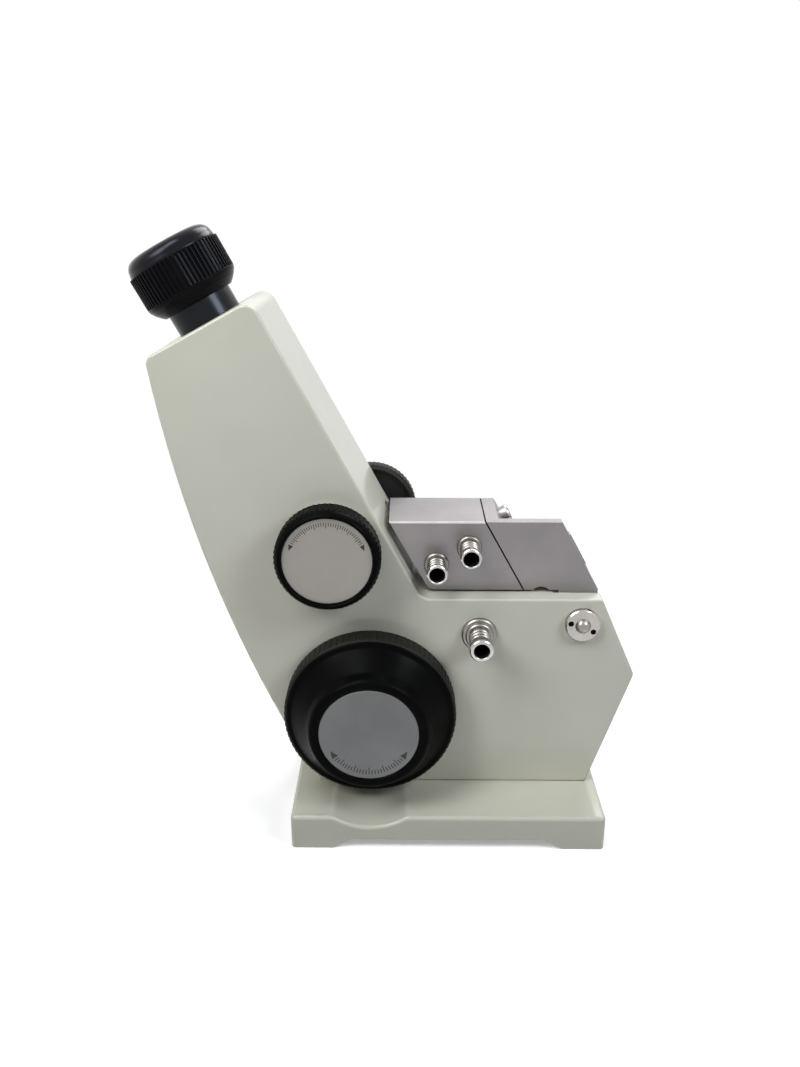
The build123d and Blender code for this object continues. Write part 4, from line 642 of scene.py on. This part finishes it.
# %% Dispersion handwheel
disperse_rim, disperse_grooves = 20.54, 60
disperse_outline = np.array([
    (0, 27.6), (20.2, 27.6), (disperse_rim, 27.95), (disperse_rim, 29.4), (disperse_rim, 31.6),
    (disperse_rim, 33.8), (disperse_rim, 35.2), (20.1, 35.65), (20.0, 36.2), (19.3, 37.5),
    (18.7, 38.2), (18.1, 38.3), (17.55, 37.9), (17.55, 36.0), (0, 36.0),
]) * mm
disperse_cuts = np.array([0.3, 0.3, 0.3, 0.3, 0.3, 0.35, 0.35, 0.4, 0.6, 0.5, 0.35, 0.3,
                          0.2])[:, None] * mm
surface_piece(
    "dispersion_handwheel",
    [turned(soften(disperse_outline, disperse_cuts), disperse_at, near, right,
            groove_angles(disperse_grooves, groove_places),
            round_grooves(disperse_grooves, disperse_rim * mm, 0.75 * mm,
                          (27.65 * mm, 35.65 * mm)))],
    wheel_black, "dispersion_drive", "dispersion_knob")

# %% [markdown]
# ### The lock handwheel
#
# This wheel on the far side has no disc, only a shallow round recess about a low boss. Its
# heights go away from the viewer.

# %% Lock handwheel on the far side
lock_rim, lock_grooves = 19.4, 60
lock_outline = np.array([
    (0, 27.6), (8.0, 27.6), (8.0, 28.8), (17.4, 28.8), (17.4, 27.2), (18.2, 27.2), (19.1, 28.8),
    (lock_rim, 29.1), (lock_rim, 30.4), (lock_rim, 32.8), (lock_rim, 34.1), (18.9, 34.4),
    (17.6, 35.6), (15.0, 35.6), (13.6, 35.0), (8.4, 35.0), (7.6, 36.0), (0, 36.3),
]) * mm
surface_piece(
    "lock_wheel",
    [turned(soften(lock_outline, 0.35 * mm), lock_at, far, right,
            groove_angles(lock_grooves, groove_places),
            round_grooves(lock_grooves, lock_rim * mm, 0.7 * mm, (28.9 * mm, 34.4 * mm)))],
    lock_black, "lock", "lock_handwheel")

# %% [markdown]
# ## Silver discs
#
# A film-covered aluminium disc sits in the face of each near wheel. The real ones say what
# the wheel does. Here a row of plain ticks and two arrow heads say only that it turns. They
# are in the finish, so the disc itself is one more turned outline with a small chamfer.

# %% Disc surfaces
def disc_outline(radius, back, face):
    """Outline of a disc with a small chamfer round its face, in metres."""
    return soften(np.array([(0, back), (radius, back), (radius, face - 0.3 * mm),
                            (radius - 0.35 * mm, face), (0, face)]), 0.12 * mm)


surface_piece(
    "adjustment_plate",
    [turned(disc_outline(19.8 * mm, 47.02 * mm, 48.14 * mm), adjust_at, near, right,
            even_angles(180))],
    adjust_film, "adjustment_drive", "adjustment_disc", sharp=20.0)
surface_piece(
    "dispersion_plate",
    [turned(disc_outline(17.5 * mm, 36.02 * mm, 36.7 * mm), disperse_at, near, right,
            even_angles(180))],
    disperse_film, "dispersion_drive", "dispersion_disc", sharp=20.0)

# %% [markdown]
# ## Eyepiece
#
# The eyepiece leans with the column. Its collar and ribbed grip are one moulding that turns on
# the neck to focus, and a smooth rounded cup ends it. The ribs are nearly rectangular, so the
# radius steps in over a short ramp at each groove. Heights go up the telescope.

# %% Ribs of the grip
def square_grooves(count, rim, width, depth, band, run_in=0.14 * mm, crown=0.16 * mm):
    """The rim's radius less depth where the arc from a groove's middle is under width / 2.

    Both flanks and both ends are straight ramps of run_in. Between grooves the rib is crowned:
    it falls by crown times the square of its place across the rib, from 0 at its middle to 1.
    """
    def radius_at(radius, height, angle):
        turn = angle * count / (2 * np.pi)
        arc = np.abs(turn - np.round(turn)) * (2 * np.pi / count) * rim
        across_it = np.clip((width / 2 + run_in / 2 - arc) / run_in, 0.0, 1.0)
        along_it = np.clip(np.minimum(height - band[0], band[1] - height) / run_in, 0.0, 1.0)
        off_rib = 1 - np.clip((arc - width / 2) / (np.pi * rim / count - width / 2), 0.0, 1.0)
        fall = depth * across_it + crown * off_rib ** 2 * (1 - across_it)
        return radius - fall * along_it * (radius > rim - depth)

    return radius_at


rib_places = (-0.5, -0.44, -0.37, -0.30, -0.255, -0.21, 0.0, 0.21, 0.255, 0.30, 0.37, 0.44)
grip_rim, grip_ribs = 18.5, 64
print("ribs are", round(2 * np.pi * grip_rim / grip_ribs, 2), "mm apart")

# %% Neck, grip and cup
neck_outline = np.array([
    (8.5, 90.4), (10.8, 90.4), (10.8, 96.4), (12.8, 96.4), (12.8, 104.0), (12.8, 112.3),
    (12.2, 112.9), (8.5, 112.9),
]) * mm
surface_piece(
    "eyepiece_neck_tube",
    [turned(soften_ring(neck_outline, 0.2 * mm), disperse_at, up_axis, far, even_angles(128))],
    barrel_black, "stand", "eyepiece_neck")
grip_outline = np.array([
    (13.1, 104.4), (14.1, 104.4), (15.4, 105.5), (16.9, 107.1), (18.2, 109.0), (18.45, 110.1),
    (grip_rim, 110.35), (grip_rim, 110.6), (grip_rim, 116.0), (grip_rim, 122.1), (18.4, 122.6),
    (8.5, 122.6), (8.5, 115.5), (13.1, 115.5),
]) * mm
surface_piece(
    "eyepiece_grip_ring",
    [turned(soften_ring(grip_outline, 0.25 * mm), disperse_at, up_axis, far,
            groove_angles(grip_ribs, rib_places),
            square_grooves(grip_ribs, grip_rim * mm, 0.84 * mm, 0.75 * mm,
                           (110.2 * mm, 122.62 * mm)))],
    grip_black, "focus_ring", "eyepiece_grip")
cup_turn = np.radians(np.linspace(4, 72, 9))
cup_arc = np.stack([12.8 + 4.6 * np.cos(cup_turn), 124.1 + 4.5 * np.sin(cup_turn)], axis=-1)
cup_outline = np.vstack([[(10.6, 122.6), (17.7, 122.6), (17.65, 123.4)], cup_arc,
                         [(13.2, 128.7), (12.2, 128.75), (11.3, 128.0), (10.6, 126.6)]]) * mm
surface_piece(
    "eyecup_ring",
    [turned(soften_ring(cup_outline, 0.3 * mm, 3), disperse_at, up_axis, far, even_angles(160))],
    cup_black, "focus_ring", "eyecup")

# %% [markdown]
# ## Hose nozzles
#
# Water from a thermostat runs through the prisms' mounts by these nickel-plated nozzles. Each
# is turned from bar: a flange, a neck with low barbs for the hose, a thicker tip and a bore.
# Barbs could be separate rings, but as part of the one outline they leave no seams.

# %% Nozzles
barb_pitch = 2.3
body_wall, upper_wall = 26.25, 16.8
body_spots = [(35.30, 84.28, 14.1)]
upper_spots = [(17.96, 111.29, 12.1), (30.93, 118.52, 13.6)]


def nozzle_outline(foot, wall, length, flange, bore, tip, ring=None):
    """Closed outline of a nozzle: up the outside from its foot, and back down the bore.

    It takes millimetres and gives metres. wall is the height of the wall that it stands on,
    flange, bore and tip are radii, and ring is a wider collar's radius and lowest height.
    Barbs repeat by barb_pitch along the neck while there is room before the tip.
    """
    neck, end = tip - 0.9, wall + length
    points = [(bore, foot), (tip, foot)]
    if ring:
        points += [(tip, ring[1]), (ring[0], ring[1]), (ring[0], wall - 0.6), (ring[0] - 0.6, wall)]
    else:
        points += [(tip, wall)]
    points += [(flange, wall), (flange, wall + 1.0), (flange - 0.5, wall + 1.5), (neck, wall + 1.5)]
    barbs = wall + 2.2 + barb_pitch * np.arange(int((length - 5.1) / barb_pitch))
    barb = np.array([(neck, 0.0), (neck + 0.55, 0.5), (neck + 0.55, 1.0), (neck, 1.4)])
    points += (barb[None] + barbs[:, None, None] * np.array([0.0, 1.0])).reshape(-1, 2).tolist()
    points += [(neck, end - 2.4), (tip, end - 2.0), (tip, end - 0.6), (tip - 0.5, end - 0.1),
               (bore + 0.3, end), (bore, end - 0.5)]
    return soften_ring(np.array(points) * mm, 0.16 * mm)


def nozzle_shell(spot, side, foot, wall, flange, bore, tip, ring=None):
    """One nozzle to a side. A spot is its x, its z and its length past the wall."""
    x, z, length = spot
    return turned(nozzle_outline(foot, wall, length, flange, bore, tip, ring),
                  np.array([x, 0, z]) * mm, side, right, even_angles(72))


surface_piece(
    "body_hose_nozzles",
    [nozzle_shell(spot, side, 12.6, body_wall, 5.6, 2.95, 4.7, (7.1, 24.25))
     for spot in body_spots for side in (near, far)],
    dull_nickel, "stand", "body_nozzles", sharp=50.0)
surface_piece(
    "upper_hose_nozzles",
    [nozzle_shell(spot, near, 13.8, upper_wall, 5.0, 2.9, 4.25) for spot in upper_spots],
    dull_nickel, "upper_seat", "upper_nozzles", sharp=50.0)

# %% [markdown]
# ### Bright tips and dark bores
#
# The tip gets a brighter, smoother nickel than the neck. The bore gets the near-black finish:
# partly scale, partly painted shade. Pieces of their own would leave seams. So a second
# finish goes to the faces of the same mesh that lie near the end or inside the bore, which
# their middles tell.

# %% Second finishes on the nozzles
def face_middles(piece):
    """The middle of each face of a piece, as an array."""
    mesh = bpy.data.objects[piece].data
    centres = np.empty(len(mesh.polygons) * 3)
    mesh.polygons.foreach_get("center", centres)
    return centres.reshape(-1, 3)


def give_faces(piece, chosen, finish):
    """Gives a second finish to the chosen faces of a piece."""
    mesh = bpy.data.objects[piece].data
    mesh.materials.append(finish)
    index = np.empty(len(mesh.polygons), np.int32)
    mesh.polygons.foreach_get("material_index", index)
    index[chosen] = len(mesh.materials) - 1
    mesh.polygons.foreach_set("material_index", index)
    print(piece, finish.name, int(chosen.sum()), "faces")


def finish_nozzles(piece, spots, wall, bore):
    """Brighter tips, and near-black bores that are partly scale and partly painted shade, by each
    face's distance from its nozzle's end and axis.
    """
    tip_length, lip = 2.3 * mm, 0.3 * mm
    spots = np.asarray(spots) * mm
    centres = face_middles(piece)
    away = np.linalg.norm(centres[:, None, [0, 2]] - spots[None, :, :2], axis=2)
    nearest, radius = away.argmin(axis=1), away.min(axis=1)
    from_end = wall * mm + spots[nearest, 2] - np.abs(centres[:, 1])
    give_faces(piece, (from_end < tip_length) & (radius > bore), nickel)
    # Partly scale, partly painted shade inside the bores.
    give_faces(piece, (radius < bore) & (from_end > lip), scale_and_painted_shade_black)


finish_nozzles("body_hose_nozzles", body_spots, body_wall, 3.1 * mm)
finish_nozzles("upper_hose_nozzles", upper_spots, upper_wall, 3.05 * mm)

# %% [markdown]
# ### Grooved rims
#
# The grooved rims get a duller black that is lighter and greyer than the smooth face. The
# lighter tone is painted light, where a rim catches the light from above. So the faces past a
# given distance from a wheel's axis get that black.

# %% Rims with painted light
def rim_faces(piece, middle, least):
    """The faces of a wheel that lie further than least from its axis."""
    return np.linalg.norm((face_middles(piece) - middle)[:, [0, 2]], axis=1) > least


for wheel, middle, least in (("adjustment_handwheel", adjust_at, 34.0 * mm),
                             ("lock_wheel", lock_at, 18.5 * mm)):
    give_faces(wheel, rim_faces(wheel, middle, least), rim_painted_light)

# %% [markdown]
# ## Painted highlight on the top edges
#
# The long top edges of the prism box get a paler metal than its dark oxide. It is a painted
# highlight: the thin bright line that these rounded edges catch. So the narrow faces that
# round them get the paler metal.

# %% Long top edges of the prism box
def top_edges(piece, least=0.2, most=0.98):
    """The faces that round a solid's long top edges: they face up and sideways at once.

    Their unit normal has more than least of both directions, and less than most sideways.
    """
    mesh = bpy.data.objects[piece].data
    normals = np.empty(len(mesh.polygons) * 3)
    mesh.polygons.foreach_get("normal", normals)
    normals = normals.reshape(-1, 3)
    sideways = np.abs(normals[:, 1])
    return (sideways > least) & (sideways < most) & (normals[:, 2] > least)


# Painted highlight on the box's long top edges.
for box_piece in ("upper_prism_seat_finished", "light_hood_finished"):
    give_faces(box_piece, top_edges(box_piece), edge_painted_highlight)

# %% [markdown]
# ## Painted shade in small hollows
#
# The hood and the seat are two castings, and the groove between them gets the near-black
# finish as painted shade, as does the set screw's hole in the hinge disc's rim. Both are found
# by the distance of a face's middle: past the joint's line, or off the hole's axis.

# %% Joint groove and rim hole
joint_foot = np.array([base_x + 29.75 * mm, 100.3 * mm])
joint_width = 0.63 * mm
hood_middles = face_middles("light_hood_finished")
past_joint = (hood_middles[:, [0, 2]] - joint_foot) @ [np.cos(box_slant), np.sin(box_slant)]
# Painted shade in the joint groove.
give_faces("light_hood_finished", past_joint < joint_width, scale_and_painted_shade_black)

hole_turn, hole_radius = np.radians(70), 0.97 * mm
hole_from_hinge, hole_from_middle = 6.95 * mm, 25.5 * mm
hole_axis = np.array([np.cos(hole_turn), 0.0, np.sin(hole_turn)])
hole_at = hinge_at + hole_from_hinge * hole_axis
disc_middles = face_middles("hinge_discs_finished")
from_hole = disc_middles - hole_at
from_hole[:, 1] = np.abs(disc_middles[:, 1]) - hole_from_middle
off_axis = np.linalg.norm(from_hole - (from_hole @ hole_axis)[:, None] * hole_axis, axis=1)
# Painted shade in the rim hole.
give_faces("hinge_discs_finished", off_axis < hole_radius, scale_and_painted_shade_black)

# %% [markdown]
# ## The mechanism inside
#
# Shafts, gears, cells, prisms and lenses are right as solids, and mostly seen only with the
# prism box open or through a window. Copies would add nothing, so these solids stay, and each
# gets the finish of its material slot.

# %% Finishes for the solids that stay as they are
inner_finish = {
    "black_lacquer": inner_black, "optical_glass": lens_glass, "hinge_steel": steel,
    "bush_brass": brass, "silvered_glass": mirror_silver, "screw_steel": zinc,
}
solids_left = {node: solid for node, solid in frame["nodes"].items() if not solid.hide_render}
for node, solid in solids_left.items():
    solid.data.materials.clear()
    solid.data.materials.append(inner_finish[slot_of[node]])
print(len(solids_left), "solids keep their mesh")

# %% [markdown]
# ## Floor
#
# The photograph shows the instrument on plain white. A white floor would throw too much light
# back up, so the floor is a grey card for that. The camera, glass and reflections see it pale,
# with the instrument's shadow, and it fades to plain white further out.

# %% Who sees the floor, and how far out
def seen_directly(nodes, links):
    """1 for rays from the camera, through glass or from a glossy surface."""
    rays = nodes.new("ShaderNodeLightPath")
    direct = calc(nodes, links, "MAXIMUM", rays.outputs["Is Camera Ray"],
                  rays.outputs["Is Transmission Ray"])
    return calc(nodes, links, "MAXIMUM", direct, rays.outputs["Is Glossy Ray"])


def far_from_middle(nodes, links, start, end):
    """0 within start metres of the origin, 1 past end."""
    place = nodes.new("ShaderNodeTexCoord")
    distance = nodes.new("ShaderNodeVectorMath")
    distance.operation = "LENGTH"
    links.new(place.outputs["Object"], distance.inputs[0])
    return spread(nodes, links, distance.outputs["Value"], 0.0, 1.0, start, end)


# %% Floor card
floor_half, fade_start, fade_end = 3.0, 0.16, 0.34
floor_mesh = bpy.data.meshes.new("floor")
floor_mesh.from_pydata([(-floor_half, -floor_half, 0), (floor_half, -floor_half, 0),
                        (floor_half, floor_half, 0), (-floor_half, floor_half, 0)], [],
                       [(0, 1, 2, 3)])
floor = bpy.data.objects.new("floor", floor_mesh)
bpy.context.scene.collection.objects.link(floor)
floor_finish, nodes, links, card = new_finish("floor_card", Roughness=0.9, Specular_IOR_Level=0.0,
                                              Base_Color=(0.40, 0.40, 0.40, 1))
pale = nodes.new("ShaderNodeBsdfDiffuse")
pale.inputs["Color"].default_value = (0.95, 0.95, 0.95, 1)
lift = nodes.new("ShaderNodeEmission")
lift.inputs["Strength"].default_value = 0.30
shadowed = nodes.new("ShaderNodeAddShader")
links.new(pale.outputs["BSDF"], shadowed.inputs[0])
links.new(lift.outputs["Emission"], shadowed.inputs[1])
plain_white = nodes.new("ShaderNodeEmission")
fade = nodes.new("ShaderNodeMixShader")
links.new(far_from_middle(nodes, links, fade_start, fade_end), fade.inputs["Fac"])
links.new(shadowed.outputs["Shader"], fade.inputs[1])
links.new(plain_white.outputs["Emission"], fade.inputs[2])
choice = nodes.new("ShaderNodeMixShader")
links.new(seen_directly(nodes, links), choice.inputs["Fac"])
links.new(card.outputs["BSDF"], choice.inputs[1])
links.new(fade.outputs["Shader"], choice.inputs[2])
links.new(choice.outputs["Shader"], nodes["Material Output"].inputs["Surface"])
floor.data.materials.append(floor_finish)

# %% [markdown]
# ## Background
#
# The background is white to the camera, in reflections and through glass. As a light it
# would wash out every shadow, so for the light that it gives it is a dim room.

# %% White background, dim room
room_level, white_level = 0.06, 1.0
world = bpy.data.worlds.new("studio")
bpy.context.scene.world = world
world.use_nodes = True
room_nodes, room_links = world.node_tree.nodes, world.node_tree.links
sky = room_nodes["Background"]
sky.inputs["Color"].default_value = (1, 1, 1, 1)
seen = seen_directly(room_nodes, room_links)
room_links.new(spread(room_nodes, room_links, seen, room_level, white_level, 0.0, 1.0),
               sky.inputs["Strength"])
print("room light", room_level)

# %% [markdown]
# ## Lamps
#
# Four soft lamps stand for the room's light: a cool window to the right, a lamp over the
# user's shoulder, a weaker one overhead and a wide one behind. They stand close, so the
# column's top is brighter than its foot, as in the photograph. A far lamp would light both
# alike.

# %% Four soft lamps
def soft_lamp(name, place, aim, size, watts, tint=(1.0, 1.0, 1.0)):
    """A square area lamp at place that faces aim."""
    lamp_data = bpy.data.lights.new(name, "AREA")
    lamp_data.size = size
    lamp_data.energy = watts
    lamp_data.color = tint
    lamp = bpy.data.objects.new(name, lamp_data)
    lamp.location = place
    lamp.rotation_euler = (Vector(aim) - Vector(place)).to_track_quat("-Z", "Y").to_euler()
    bpy.context.scene.collection.objects.link(lamp)
    print(name, "lamp,", watts, "W")


soft_lamp("window", (0.40, -0.27, 0.47), (-0.03, 0.0, 0.15), 0.22, 1.7, (0.88, 0.94, 1.0))
soft_lamp("shoulder", (-0.34, -0.30, 0.50), (-0.04, 0.0, 0.15), 0.25, 1.75)
soft_lamp("overhead", (-0.17, -0.16, 0.60), (-0.02, 0.0, 0.13), 0.18, 0.9, (0.92, 0.95, 1.0))
soft_lamp("behind", (0.25, 0.55, 0.75), (0.0, 0.0, 0.12), 0.5, 4.6)
